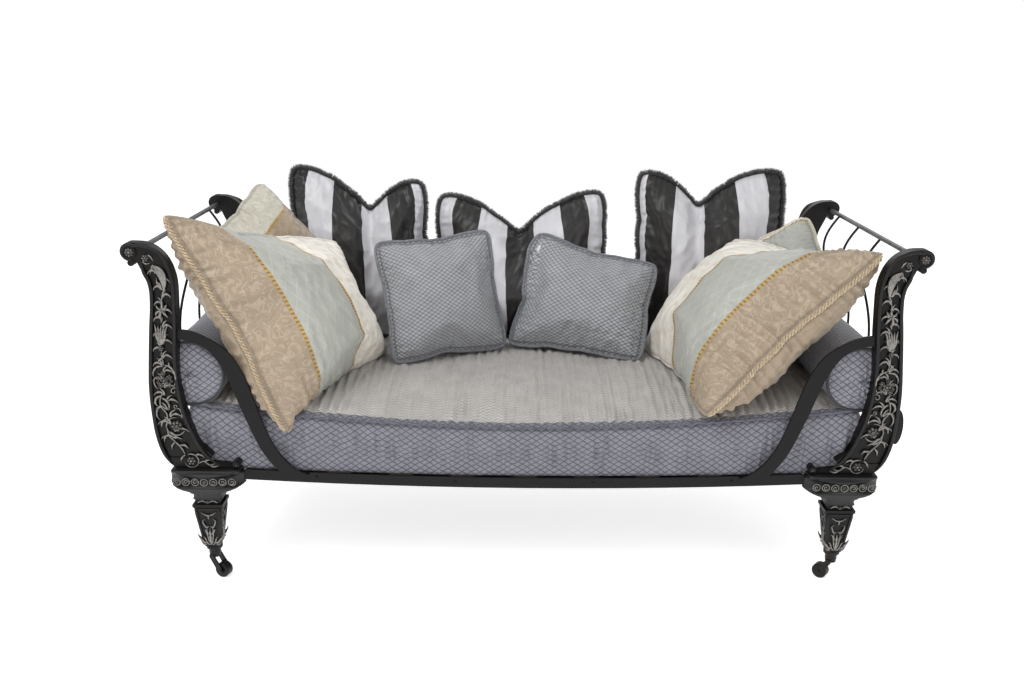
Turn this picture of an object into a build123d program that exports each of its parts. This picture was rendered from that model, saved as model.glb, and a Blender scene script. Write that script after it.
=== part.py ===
"""Scroll-ended iron daybed on casters, with its mattress, bolsters and cushions.

Millimetres.  The origin is on the floor under the middle of the bed, +X runs along the bed
to the right-hand end, -Y is the front and +Z is up.  Corner pieces are drawn once, at the
front right corner, and mirrored to the other three.
"""
from build123d import *
from math import cos, radians, sin
import os

os.makedirs("parts", exist_ok=True)

# ---- Overall sizes -------------------------------------------------------------------
bed_length = 1960          # over the scrolls of the two ends
bed_depth = 760            # over the outer faces of the front and back posts
scroll_top = 901           # height of the scrolls
capital_top = 314          # the posts stand on the capitals here

# ---- Posts ---------------------------------------------------------------------------
post_thick = 30
eye_radius = 23            # scroll eye at the top of the post
eye_boss = 16              # raised round in the middle of the eye
drop_radius = 8            # small drop under the scroll
toe_radius = 10            # upturned toe at the foot
# Scroll's back edge: in from the eye, below the scroll's top.
crest_points = [(46, 6), (69, 21)]
instep_point = (24, 9)     # out from the toe, over the capital
instep_heading = (-1, -0.1)
panel_rim = 8              # plain border left round the sunk panel
panel_sink = 3
lug_length = 94            # cast lug on the outer edge of the front right post
lug_proud = 16
lug_height = 445
# Share of the rise from capital to scroll top, then the outer and inner edges of the post
# as distances in from the end of the bed.
post_stations = [
    (0.049, 61, 177),
    (0.095, 50, 157),
    (0.170, 41, 138),
    (0.242, 38, 124),
    (0.366, 37, 113),
    (0.503, 44, 112),
    (0.641, 53, 119),
    (0.760, 61, 123),
    (0.828, 60, 124),
    (0.888, 46, 118),
]
foot_outer = 86            # outer end of the post's foot, in from the end of the bed
foot_inner = 240           # middle of the toe

# ---- Capitals, legs ------------------------------------------------------------------
corner_inset = 162         # leg axis, in from the end of the bed
capital_base = 232
# Heights over the capital's base where each moulding starts, with its half width and depth.
capital_mouldings = [
    (0, 39, 31),
    (17, 46, 35),
    (25, 68, 36),
    (31, 80, 38),
]
band_base = 36             # egg band, over the capital's base
band_top = 72
band_half_width = 94
band_half_depth = 37
plate_half_width = 84      # plate under the post
plate_half_depth = 31
egg_count = 7
egg_pitch = 23
egg_radius = 10
egg_proud = 4
neck_half = (32, 26)       # leg's neck, half width and half depth
shoulder_half = (39, 32)
ankle_half = (19, 19)
neck_height = 14
shoulder_height = 8
ankle_height = 92          # leg's lower end, over the floor

# ---- Casters -------------------------------------------------------------------------
socket_radius = 21
socket_neck_radius = 15
socket_ring = 12           # height of the wide ring under the leg
socket_neck = 16           # height of the narrower neck below it
stem_radius = 6
stem_clearance = 0.08
stem_length = 46
crown_radius = 14
crown_thick = 7
swivel_gap = 0.4           # between the crown and the socket
wheel_radius = 20
wheel_width = 24
wheel_gap = 1              # each side, between the wheel and the fork
hub_radius = 8
cheek_thick = 4
caster_trail = 24          # wheel axle behind the swivel axis
axle_radius = 3
axle_clearance = 0.06
axle_head = 5.5
axle_head_thick = 2
# Direction in which each wheel trails, in degrees from +X.
trail_turns = {"front_left": -20, "back_left": 30, "front_right": 140, "back_right": 165}

# ---- Rails and bars ------------------------------------------------------------------
rail_top = 307             # side rail at its ends
rail_height = 28
rail_sag = 18              # side rail's dip in the middle
rail_flange = 5
rail_ledge = 34
slat_thick = 5
slat_width = 60
slat_pitch = 160
slat_count = 9
end_bar_width = 20
top_rail_radius = 6.5
top_rail_inset = 25
top_rail_drop = 28         # top rail's middle, below the scroll's top
spindle_radius = 3.5
spindle_pitch = 175
spindle_count = 4
# Spindle line: inset from the end of the bed, share of the rise from end bar to top rail.
spindle_line = [
    (140, 0.0),
    (113, 0.035),
    (75, 0.125),
    (45, 0.245),
    (31, 0.380),
    (27, 0.500),
    (35, 0.620),
    (53, 0.735),
    (65, 0.815),
    (63, 0.880),
    (45, 0.950),
    (25, 1.0),
]
strap_thick = 7
strap_joint = 670          # height where the strap meets the post
# Strap edges: inset from the end, share of the rise from side rail top to the joint.
strap_upper = [
    (105, 1.030),
    (160, 1.018),
    (192, 0.975),
    (226, 0.912),
    (258, 0.802),
    (279, 0.673),
    (299, 0.497),
    (326, 0.268),
    (361, 0.094),
    (398, 0.000),
    (425, -0.030),
]
strap_lower = [
    (105, 0.966),
    (158, 0.944),
    (190, 0.892),
    (211, 0.818),
    (226, 0.744),
    (254, 0.530),
    (280, 0.330),
    (316, 0.112),
    (342, 0.018),
    (370, -0.050),
    (400, -0.082),
]
rivet_radius = 4
rivet_proud = 2.5
rivet_places = [-538, -179, 179, 538]

# ---- Vine on the posts ---------------------------------------------------------------
vine_relief = 5
vine_stem = 5
# Share of the post's rise, side step from the panel's middle, radius of the flower or leaf.
vine_flowers = [
    (0.085, 0, 20),
    (0.235, -8, 16),
    (0.400, 2, 19),
    (0.590, 0, 13),
    (0.700, 0, 12),
    (0.830, 2, 15),
]

# ---- Bedding -------------------------------------------------------------------------
soft_gap = 0.4             # air between a soft piece and what it rests on
mattress_end_inset = 126
mattress_side_gap = 3      # between the mattress and the posts
mattress_end_top = 470
mattress_corner = 45
bolster_radius = 86
bolster_inset = 130
# Cushions: middle x, y and height over the rail top, then turn, lean and roll in degrees,
# then width, height and thickness as the cushion sits.
cushions = {
    "striped_cushion_left": (-482, 292, 421, 6, 11, -4, 370, 515, 100),
    "striped_cushion_middle": (-6, 284, 390, 0, 12, 1, 490, 450, 110),
    "striped_cushion_right": (558, 292, 427, -4, 10, 0, 400, 515, 100),
    "beige_cushion_back_left": (-705, 22, 377, 67, 22, 11, 378, 400, 90),
    "beige_cushion_back_right": (716, 62, 352, -65, 25, -19, 290, 330, 80),
    "beige_cushion_front_left": (-602, -150, 387, 62, 22, 3, 525, 470, 140),
    "beige_cushion_front_right": (583, -94, 360, -77, 44, 5, 555, 490, 130),
    "grey_cushion_left": (-240, 106, 348, 24, 19, 2, 345, 340, 80),
    "grey_cushion_right": (186, 136, 325, -12, 23, -7, 370, 305, 80),
}
cushion_core = 0.6         # flat middle of a cushion's faces, as a share of its outline
cushion_corner = 30

# ---- Places worked out from the sizes ------------------------------------------------
half_length = bed_length / 2
front_face = bed_depth / 2
post_back = front_face - post_thick
post_mid = front_face - post_thick / 2
post_rise = scroll_top - capital_top
leg_x = half_length - corner_inset
rail_half = leg_x - band_half_width
top_rail_height = scroll_top - top_rail_drop
corners = [(end, side) for end in ("left", "right") for side in ("front", "back")]
ends = ["left", "right"]


def save(piece, label):
    """Name a finished piece and write it as its own file."""
    piece.part.label = label
    export_step(piece.part, f"parts/{label}.step")


def at_corner(source, side, end):
    """Copy a front right piece to another corner of the bed."""
    with BuildPart() as copy:
        add(source.part)
        if end == "left":
            mirror(about=Plane.YZ, mode=Mode.REPLACE)
        if side == "back":
            mirror(about=Plane.XZ, mode=Mode.REPLACE)
    return copy


def save_corners(source, stem):
    """Write a front right piece at all four corners."""
    for end, side in corners:
        save(at_corner(source, side, end), f"{stem}_{side}_{end}")


def rise(share):
    """Height at a share of the post's rise."""
    return capital_top + share * post_rise


def sag(x, top=rail_top):
    """Height of a line that dips like the side rails, at a distance from the middle."""
    return top - rail_sag * (1 - (x / rail_half) ** 2)


def front_plane(y):
    """Upright plane facing the front, at y."""
    return Plane.XZ.offset(-y)


def post_middle(share):
    """X of the middle of the post's face at a share of its rise."""
    shares = [station[0] for station in post_stations]
    upper = next((i for i, value in enumerate(shares) if value >= share), len(shares) - 1)
    lower = max(upper - 1, 0)
    low_share, low_out, low_in = post_stations[lower]
    high_share, high_out, high_in = post_stations[upper]
    span = max(high_share - low_share, panel_sink / post_rise)
    part = (share - low_share) / span
    low_mid = (low_out + low_in) / 2
    high_mid = (high_out + high_in) / 2
    return half_length - low_mid - part * (high_mid - low_mid)


# ---- Posts: cast S-scrolls, sunk panel on the outer face -----------------------------
eye_x = half_length - eye_radius
eye_z = scroll_top - eye_radius
outer_edge = [(half_length - out, rise(share)) for share, out, _ in post_stations]
inner_edge = [(half_length - inn, rise(share)) for share, _, inn in reversed(post_stations)]
foot_x = half_length - foot_outer
toe_x = half_length - foot_inner
crest = [(eye_x - inward, scroll_top - below) for inward, below in crest_points]
instep = (toe_x + instep_point[0], capital_top + instep_point[1])


with BuildPart() as post:
    with BuildSketch(front_plane(-post_back)):
        with BuildLine():
            heel = Line((toe_x, capital_top), (foot_x, capital_top))
            belly = Spline([heel @ 1, *outer_edge,
                            (eye_x - eye_radius / 2, eye_z - eye_radius / 2)])
            lip = Line(belly @ 1, (eye_x, eye_z))
            cheek = Line(lip @ 1, (eye_x, scroll_top))
            back = Spline([cheek @ 1, *crest, *inner_edge, instep],
                          tangents=[(-1, 0), instep_heading])
            Line(back @ 1, heel @ 0)
        make_face()
        with Locations((eye_x, eye_z)):
            Circle(eye_radius)
        with Locations((eye_x, eye_z - eye_radius - drop_radius / 2)):
            Circle(drop_radius)
        with Locations((toe_x, capital_top + toe_radius)):
            Circle(toe_radius)
    extrude(amount=post_thick)
    with BuildSketch(front_plane(-front_face)):
        with BuildLine():
            outer = Spline([(half_length - out - panel_rim, rise(share))
                            for share, out, _ in post_stations])
            inner = Spline([(half_length - inn + panel_rim, rise(share))
                            for share, _, inn in post_stations])
            Line(outer @ 0, inner @ 0)
            Line(outer @ 1, inner @ 1)
        make_face()
    extrude(amount=-panel_sink, mode=Mode.SUBTRACT)
    with BuildSketch(front_plane(-front_face)):
        with Locations((eye_x, eye_z)):
            Circle(eye_boss)
    extrude(amount=panel_sink)

for end, side in corners:
    corner_post = at_corner(post, side, end)
    if (side, end) == ("front", "right"):
        with BuildPart() as lugged_post:
            add(corner_post.part)
            with BuildSketch(front_plane(-post_back)):
                with Locations((half_length - post_stations[3][1], lug_height)):
                    Ellipse(lug_proud, lug_length / 2)
            extrude(amount=post_thick)
        corner_post = lugged_post
    save(corner_post, f"post_{side}_{end}")

# ---- Vine: one cast relief, in the sunk panel of each post ---------------------------
with BuildPart() as vine:
    with BuildSketch(front_plane(-(front_face - panel_sink))):
        for (low, low_step, _), (high, high_step, _) in zip(vine_flowers, vine_flowers[1:]):
            with BuildLine():
                Polyline((post_middle(low) + low_step - vine_stem / 2, rise(low)),
                         (post_middle(low) + low_step + vine_stem / 2, rise(low)),
                         (post_middle(high) + high_step + vine_stem / 2, rise(high)),
                         (post_middle(high) + high_step - vine_stem / 2, rise(high)),
                         close=True)
            make_face()
        for share, step, radius in vine_flowers:
            with Locations((post_middle(share) + step, rise(share))):
                Circle(radius)
    extrude(amount=vine_relief)
save_corners(vine, "vine")

# ---- Capitals: stepped mouldings under an egg band, and a plate for the post ---------
with BuildPart() as capital:
    tops = [start for start, _, _ in capital_mouldings[1:]] + [band_base]
    for (start, half_width, half_depth), top in zip(capital_mouldings, tops):
        with BuildSketch(Plane.XY.offset(capital_base + start)):
            with Locations((leg_x, -post_mid)):
                Rectangle(2 * half_width, 2 * half_depth)
        extrude(amount=top - start)
    with BuildSketch(Plane.XY.offset(capital_base + band_base)):
        with Locations((leg_x, -post_mid)):
            Rectangle(2 * band_half_width, 2 * band_half_depth)
    extrude(amount=band_top - band_base)
    with BuildSketch(Plane.XY.offset(capital_base + band_top)):
        with Locations((leg_x, -post_mid)):
            Rectangle(2 * plate_half_width, 2 * plate_half_depth)
    extrude(amount=capital_top - capital_base - band_top)
    band_middle = capital_base + (band_base + band_top) / 2
    band_front = -post_mid - band_half_depth
    with Locations(Location((leg_x, band_front - egg_proud + egg_radius, band_middle))):
        with GridLocations(egg_pitch, 1, egg_count, 1):
            Sphere(egg_radius)
save_corners(capital, "capital")

# ---- Legs: neck, shoulder and a square taper, bored for the caster's stem ------------
socket_base = ankle_height - socket_ring - socket_neck
crown_top = socket_base - swivel_gap
bore_radius = stem_radius + stem_clearance
with BuildPart() as leg:
    shoulder_top = capital_base - neck_height
    taper_top = shoulder_top - shoulder_height
    for base, tall, half in ((shoulder_top, neck_height, neck_half),
                             (taper_top, shoulder_height, shoulder_half)):
        with BuildSketch(Plane.XY.offset(base)):
            with Locations((leg_x, -post_mid)):
                Rectangle(2 * half[0], 2 * half[1])
        extrude(amount=tall)
    for level, half, wider in ((ankle_height, ankle_half, 0),
                               (taper_top, neck_half, shoulder_height)):
        with BuildSketch(Plane.XY.offset(level)):
            with Locations((leg_x, -post_mid)):
                Rectangle(2 * half[0] + wider, 2 * half[1] + wider)
    loft(ruled=True)
    with BuildSketch(Plane.XY.offset(ankle_height)):
        with Locations((leg_x, -post_mid)):
            Circle(bore_radius)
    extrude(amount=crown_top + stem_length + swivel_gap - ankle_height, mode=Mode.SUBTRACT)
save_corners(leg, "leg")

# ---- Caster sockets: turned ring and neck under each leg -----------------------------
with BuildPart() as socket:
    for base, tall, radius in ((socket_base, socket_neck, socket_neck_radius),
                               (ankle_height - socket_ring, socket_ring, socket_radius)):
        with BuildSketch(Plane.XY.offset(base)):
            with Locations((leg_x, -post_mid)):
                Circle(radius)
                Circle(bore_radius, mode=Mode.SUBTRACT)
        extrude(amount=tall)
    rings = socket.edges().filter_by(GeomType.CIRCLE).filter_by(
        lambda edge: edge.radius == socket_radius)
    fillet(rings, radius=socket_ring / 4)
save_corners(socket, "caster_socket")

# ---- Casters, drawn round their own swivel axis with the wheel trailing along +X -----
crown_base = crown_top - crown_thick
cheek_inner = wheel_width / 2 + wheel_gap
with BuildPart() as fork:
    with BuildSketch(Plane.XY.offset(crown_base)):
        Circle(crown_radius)
    extrude(amount=crown_thick)
    with BuildSketch(Plane.XY.offset(crown_top)):
        Circle(stem_radius)
    extrude(amount=stem_length)
    for cheek_back in (cheek_inner + cheek_thick, -cheek_inner):
        with BuildSketch(front_plane(cheek_back)):
            with Locations((caster_trail, wheel_radius)):
                Circle(hub_radius)
            with Locations((0, crown_base)):
                Rectangle(crown_radius, crown_thick / 2, align=(Align.CENTER, Align.MIN))
            make_hull()
            with Locations((caster_trail, wheel_radius)):
                Circle(axle_radius + axle_clearance, mode=Mode.SUBTRACT)
        extrude(amount=cheek_thick)
    with BuildSketch(Plane.XY.offset(crown_base)):
        Rectangle(crown_radius, 2 * (cheek_inner + cheek_thick))
    extrude(amount=crown_thick)

with BuildPart() as wheel:
    with BuildSketch(front_plane(wheel_width / 2)):
        with Locations((caster_trail, wheel_radius)):
            Circle(wheel_radius)
            Circle(axle_radius + axle_clearance, mode=Mode.SUBTRACT)
    extrude(amount=wheel_width)
    treads = wheel.edges().filter_by(GeomType.CIRCLE).filter_by(
        lambda edge: edge.radius == wheel_radius)
    fillet(treads, radius=wheel_width / 8)

with BuildPart() as axle:
    axle_reach = cheek_inner + cheek_thick + axle_clearance
    for back, tall, radius in ((axle_reach + axle_head_thick, axle_head_thick, axle_head),
                               (axle_reach, 2 * axle_reach, axle_radius),
                               (-axle_reach, axle_head_thick, axle_head)):
        with BuildSketch(front_plane(back)):
            with Locations((caster_trail, wheel_radius)):
                Circle(radius)
        extrude(amount=tall)

for end, side in corners:
    stand_x = leg_x if end == "right" else -leg_x
    stand_y = post_mid if side == "back" else -post_mid
    turned = Location((stand_x, stand_y, 0), (0, 0, trail_turns[f"{side}_{end}"]))
    for source, stem in ((fork, "caster_fork"), (wheel, "caster_wheel"), (axle, "caster_axle")):
        with BuildPart() as caster_piece:
            with Locations(turned):
                add(source.part)
        save(caster_piece, f"{stem}_{side}_{end}")

# ---- Ends: top rail, end bar and the bent spindles between them ----------------------
rail_x = half_length - top_rail_inset
bar_x = half_length - spindle_line[0][0]
end_span = post_back
bar_reach = post_mid - band_half_depth

with BuildPart() as top_rail:
    with BuildSketch(front_plane(end_span)):
        with Locations((rail_x, top_rail_height)):
            Circle(top_rail_radius)
    extrude(amount=2 * end_span)

with BuildPart() as end_bar:
    with Locations((bar_x, 0, rail_top - rail_height / 2)):
        Box(end_bar_width, 2 * bar_reach, rail_height)

with BuildPart() as spindles:
    spindle_rise = top_rail_height - rail_top
    first_y = -spindle_pitch * (spindle_count - 1) / 2
    for number in range(spindle_count):
        spindle_y = first_y + number * spindle_pitch
        with BuildLine(front_plane(spindle_y)) as path:
            Spline([(half_length - inset, rail_top + share * spindle_rise)
                    for inset, share in spindle_line])
        foot = path.wires()[0]
        with BuildSketch(Plane(origin=foot @ 0, z_dir=foot % 0)):
            Circle(spindle_radius)
        sweep(path=foot)
    add(top_rail.part, mode=Mode.SUBTRACT)
    add(end_bar.part, mode=Mode.SUBTRACT)

for end in ends:
    save(at_corner(top_rail, "front", end), f"top_rail_{end}")
    save(at_corner(end_bar, "front", end), f"end_bar_{end}")
    save(at_corner(spindles, "front", end), f"end_spindles_{end}")

# ---- Side rails: sagging angle iron, with the slats on its ledge ---------------------
ledge_top = rail_top - slat_thick
strap_front = front_face - panel_sink
rail_front = strap_front - strap_thick
with BuildPart() as side_rail:
    for top, height, reach in ((rail_top, rail_height, rail_flange),
                               (ledge_top, rail_flange, -rail_ledge)):
        with BuildSketch(front_plane(-(rail_front - rail_flange))):
            with BuildLine():
                upper = ThreePointArc((-rail_half, top), (0, sag(0, top)), (rail_half, top))
                lower = ThreePointArc((-rail_half, top - height), (0, sag(0, top - height)),
                                      (rail_half, top - height))
                Line(upper @ 0, lower @ 0)
                Line(upper @ 1, lower @ 1)
            make_face()
        extrude(amount=reach)
save(side_rail, "side_rail_front")
save(at_corner(side_rail, "back", "right"), "side_rail_back")

with BuildPart() as slats:
    slat_reach = rail_front - rail_flange - soft_gap
    for number in range(slat_count):
        slat_x = (number - (slat_count - 1) / 2) * slat_pitch
        slat_seat = sag(abs(slat_x) + slat_width / 2, ledge_top) + soft_gap
        with Locations((slat_x, 0, slat_seat + slat_thick / 2)):
            Box(slat_width, 2 * slat_reach, slat_thick)
save(slats, "slats")

# ---- Straps: flat bars from each post down to the side rail --------------------------
strap_rise = strap_joint - rail_top
with BuildPart() as strap:
    with BuildSketch(front_plane(-rail_front)):
        with BuildLine():
            upper = Spline([(half_length - inset, rail_top + share * strap_rise)
                            for inset, share in strap_upper])
            lower = Spline([(half_length - inset, rail_top + share * strap_rise)
                            for inset, share in strap_lower])
            Line(upper @ 0, lower @ 0)
            Line(upper @ 1, lower @ 1)
        make_face()
    extrude(amount=strap_thick)
    add(post.part, mode=Mode.SUBTRACT)
save_corners(strap, "strap")

# ---- Rivets along the side rails -----------------------------------------------------
with BuildPart() as rivets:
    for face_y in (-rail_front, rail_front + rivet_proud):
        with BuildSketch(front_plane(face_y)):
            for rivet_x in rivet_places:
                with Locations((rivet_x, sag(rivet_x) - rail_height / 2)):
                    Circle(rivet_radius)
        extrude(amount=rivet_proud)
save(rivets, "rail_rivets")

# ---- Mattress: dips with the rails, rounded at its lower ends ------------------------
mattress_half = half_length - mattress_end_inset
mattress_low = sag(0) + 3 * soft_gap
plate_x = leg_x - plate_half_width
mattress_curve = (capital_top + soft_gap - mattress_low) / plate_x ** 2
mattress_base = mattress_low + mattress_curve * (mattress_half - mattress_corner) ** 2
with BuildPart() as mattress:
    with BuildSketch(front_plane(post_back - mattress_side_gap)):
        with BuildLine():
            under = ThreePointArc((-mattress_half + mattress_corner, mattress_base),
                                  (0, mattress_low),
                                  (mattress_half - mattress_corner, mattress_base))
            over = ThreePointArc((-mattress_half, mattress_end_top),
                                 (0, mattress_end_top - rail_sag),
                                 (mattress_half, mattress_end_top))
            for bottom, top in ((under @ 0, over @ 0), (under @ 1, over @ 1)):
                knee = (top.X, mattress_base + mattress_corner)
                Line(bottom, knee)
                Line(knee, top)
        make_face()
    extrude(amount=2 * (post_back - mattress_side_gap))
save(mattress, "mattress")

# ---- Bolsters: one along each end, on the mattress -----------------------------------
with BuildPart() as bolster:
    with BuildSketch(front_plane(post_back - mattress_side_gap)):
        with Locations((half_length - bolster_inset,
                        mattress_end_top + bolster_radius + soft_gap)):
            Circle(bolster_radius)
    extrude(amount=2 * (post_back - mattress_side_gap))
for end in ends:
    save(at_corner(bolster, "front", end), f"bolster_{end}")


# ---- Cushions: plain swelling solids, leaning where each one rests -------------------
def cushion_plane(x, y, z, turn, lean, roll):
    """Plane of a cushion's outline: turned to a side, leaning back, rolled in its plane."""
    turn, lean, roll = radians(turn), radians(lean), radians(roll)
    across = Vector(cos(turn), sin(turn), 0)
    facing = Vector(sin(turn) * cos(lean), -cos(turn) * cos(lean), sin(lean))
    upward = facing.cross(across)
    return Plane(origin=(x, y, z), x_dir=across * cos(roll) + upward * sin(roll), z_dir=facing)


for name, (x, y, over_rail, turn, lean, roll, width, height, thick) in cushions.items():
    face = cushion_plane(x, y, rail_top + over_rail, turn, lean, roll)
    with BuildPart() as cushion:
        for lift, share in ((-thick / 2, cushion_core), (0, 1), (thick / 2, cushion_core)):
            with BuildSketch(face.offset(lift)):
                RectangleRounded(width * share, height * share, cushion_corner)
        loft(ruled=True)
    save(cushion, name)
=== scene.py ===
# %% [markdown]
# # An iron daybed with its mattress, bolsters and cushions
#
# The bed is cast and wrought iron: four S-scroll posts with a vine in relief, square legs on
# casters, bent spindles at the ends.  The bedding is a quilted mattress, two bolsters and nine
# cushions.  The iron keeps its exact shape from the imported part, so this script only gives it
# paint and cast ornament.  Everything soft is made new here, because cloth is never flat.

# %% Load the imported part
import bmesh
import bpy
import numpy as np
from mathutils import Matrix, Vector
from mathutils.bvhtree import BVHTree


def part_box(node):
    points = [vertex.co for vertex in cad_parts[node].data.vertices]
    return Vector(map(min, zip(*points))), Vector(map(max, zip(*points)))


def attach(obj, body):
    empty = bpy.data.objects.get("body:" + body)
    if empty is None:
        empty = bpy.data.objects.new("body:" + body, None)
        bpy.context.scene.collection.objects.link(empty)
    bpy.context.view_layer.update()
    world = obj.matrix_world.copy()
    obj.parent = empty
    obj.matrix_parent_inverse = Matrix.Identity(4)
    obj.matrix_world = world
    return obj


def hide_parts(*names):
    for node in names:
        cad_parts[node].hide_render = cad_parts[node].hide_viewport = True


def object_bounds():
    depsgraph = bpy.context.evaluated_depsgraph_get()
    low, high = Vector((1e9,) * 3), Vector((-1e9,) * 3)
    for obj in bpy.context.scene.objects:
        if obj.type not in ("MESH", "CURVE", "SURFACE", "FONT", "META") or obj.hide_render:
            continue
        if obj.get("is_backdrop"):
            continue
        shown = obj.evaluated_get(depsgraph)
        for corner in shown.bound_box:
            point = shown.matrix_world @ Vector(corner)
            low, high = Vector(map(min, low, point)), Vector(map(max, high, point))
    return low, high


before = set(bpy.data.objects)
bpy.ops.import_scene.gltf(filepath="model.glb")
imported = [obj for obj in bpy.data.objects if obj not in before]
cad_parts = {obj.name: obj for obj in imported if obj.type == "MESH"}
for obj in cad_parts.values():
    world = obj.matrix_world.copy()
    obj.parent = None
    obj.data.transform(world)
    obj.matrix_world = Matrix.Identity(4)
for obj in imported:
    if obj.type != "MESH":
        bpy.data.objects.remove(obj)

scene = bpy.context.scene
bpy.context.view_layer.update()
corners = [(side, end) for side in ("front", "back") for end in ("left", "right")]

# %% [markdown]
# ## Camera, floor and light
#
# The camera stands in front of the bed, 0.4 m above its top, and looks down.  Its place and
# its three angles are the result of a separate perspective solve, and aren't worked out from
# the frame.  The floor is pale and runs far back, and three large soft lights stand in for a
# studio's soft boxes.

# %% Camera
yaw, pitch, roll = 0.00227, 0.29916, 0.01032
ahead = Vector((np.sin(yaw) * np.cos(pitch), np.cos(yaw) * np.cos(pitch), -np.sin(pitch)))
level = Vector((np.cos(yaw), -np.sin(yaw), 0))
above = level.cross(ahead)
right = level * np.cos(roll) + above * np.sin(roll)
upright = above * np.cos(roll) - level * np.sin(roll)
turned = Matrix((right, upright, -ahead)).transposed().to_4x4()
camera = bpy.data.objects.new("camera", bpy.data.cameras.new("camera"))
camera.data.lens, camera.data.sensor_width = 35, 36
camera.matrix_world = Matrix.Translation((-0.04095, -2.72753, 1.38767)) @ turned
scene.collection.objects.link(camera)
scene.camera = camera
print("camera stands", [round(v, 2) for v in camera.matrix_world.translation])

# %% Lights and a colour-true view
scene.view_settings.view_transform = "Standard"
world = bpy.data.worlds.new("studio")
world.use_nodes = True
sky = world.node_tree.nodes["Background"]
sky.inputs["Color"].default_value = (1, 1, 1, 1)
seen = world.node_tree.nodes.new("ShaderNodeLightPath")
level_of = world.node_tree.nodes.new("ShaderNodeMapRange")
level_of.inputs["To Min"].default_value, level_of.inputs["To Max"].default_value = 0.55, 1.02
world.node_tree.links.new(seen.outputs["Is Camera Ray"], level_of.inputs["Value"])
world.node_tree.links.new(level_of.outputs[0], sky.inputs["Strength"])
scene.world = world
soft_boxes = {"key": ((-1.5, -1.6, 3.4), 2.2, 62), "fill": ((2.6, -2.8, 2.2), 2.0, 22),
              "rim": ((0.6, 2.8, 2.8), 2.5, 26)}
for name, (place, size, power) in soft_boxes.items():
    lamp = bpy.data.objects.new(name, bpy.data.lights.new(name, "AREA"))
    lamp.data.size, lamp.data.energy = size, power
    aim = Vector((0, 0, 0.5)) - Vector(place)
    lamp.rotation_euler = aim.to_track_quat("-Z", "Y").to_euler()
    lamp.location = place
    scene.collection.objects.link(lamp)
print("lights", sorted(soft_boxes))

# %% [markdown]
# ## Helpers for shapes
#
# Every new surface is a grid of points worked out as whole arrays.  A skin is such a grid with
# its quads, and a piece joins several skins into one mesh.  Doubles at seams and poles are
# merged, and the faces are then turned outwards.

# %% A grid of points becomes quads, and skins become a piece
def skin(points, wrap_u=False, wrap_v=False, uv=None, raised=None):
    """Quads of a grid of points; a direction that wraps joins its last row to its first."""
    m, n = points.shape[:2]
    i = np.arange(m if wrap_u else m - 1)[:, None]
    j = np.arange(n if wrap_v else n - 1)[None, :]
    faces = np.stack([i * n + j, (i + 1) % m * n + j, (i + 1) % m * n + (j + 1) % n,
                      i * n + (j + 1) % n], -1).reshape(-1, 4)
    uv = np.zeros((m, n, 2)) if uv is None else uv
    raised = np.zeros((m, n)) if raised is None else raised
    return points.reshape(-1, 3), faces, uv.reshape(-1, 2), raised.reshape(-1)


def piece(name, skins, finish, body="frame", replaces=(), merge=1e-5):
    """One mesh from several skins, with UVs and a raised value per point, riding on a body."""
    starts = np.cumsum([0] + [len(s[0]) for s in skins[:-1]])
    points = np.concatenate([s[0] for s in skins])
    faces = [row for s, start in zip(skins, starts) for row in (s[1] + start).tolist()]
    uv = np.concatenate([s[2] for s in skins])
    raised = np.concatenate([s[3] for s in skins])
    mesh = bpy.data.meshes.new(name)
    mesh.from_pydata(points.tolist(), [], faces)
    ring = np.empty(len(mesh.loops), int)
    mesh.loops.foreach_get("vertex_index", ring)
    mesh.uv_layers.new(name="UVMap").data.foreach_set("uv", uv[ring].astype(np.float32).ravel())
    mesh.attributes.new("raised", "FLOAT", "POINT").data.foreach_set(
        "value", raised.astype(np.float32))
    work = bmesh.new()
    work.from_mesh(mesh)
    bmesh.ops.remove_doubles(work, verts=work.verts, dist=merge)
    bmesh.ops.recalc_face_normals(work, faces=work.faces)
    work.to_mesh(mesh)
    work.free()
    mesh.shade_smooth()
    mesh.materials.append(finish)
    made = bpy.data.objects.new(name, mesh)
    scene.collection.objects.link(made)
    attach(made, body)
    if replaces:
        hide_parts(*replaces)
    return made


print("shape helpers ready")

# %% Smooth lines, ribbons and tubes
def unit(v):
    """Each row divided by its length."""
    return v / np.maximum(np.linalg.norm(v, axis=-1, keepdims=True), 1e-12)


def smooth_line(knots, values, at):
    """Cubic between each two knots, its slope at a knot the mean of the slopes either side."""
    knots, values, at = (np.asarray(a, float) for a in (knots, values, at))
    slope = np.gradient(values, knots, axis=0)
    i = np.clip(np.searchsorted(knots, at) - 1, 0, len(knots) - 2)
    gap = knots[i + 1] - knots[i]
    t = (at - knots[i]) / gap
    if values.ndim > 1:
        gap, t = gap[:, None], t[:, None]
    return ((2 * t**3 - 3 * t**2 + 1) * values[i] + (t**3 - 2 * t**2 + t) * gap * slope[i]
            + (3 * t**2 - 2 * t**3) * values[i + 1] + (t**3 - t**2) * gap * slope[i + 1])


def along(points, count):
    """Smooth line through the points, at count places evenly spaced in length."""
    points = np.asarray(points, float)
    run = np.concatenate([[0], np.cumsum(np.linalg.norm(np.diff(points, axis=0), axis=1))])
    return smooth_line(run, points, np.linspace(0, run[-1], count))


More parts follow.
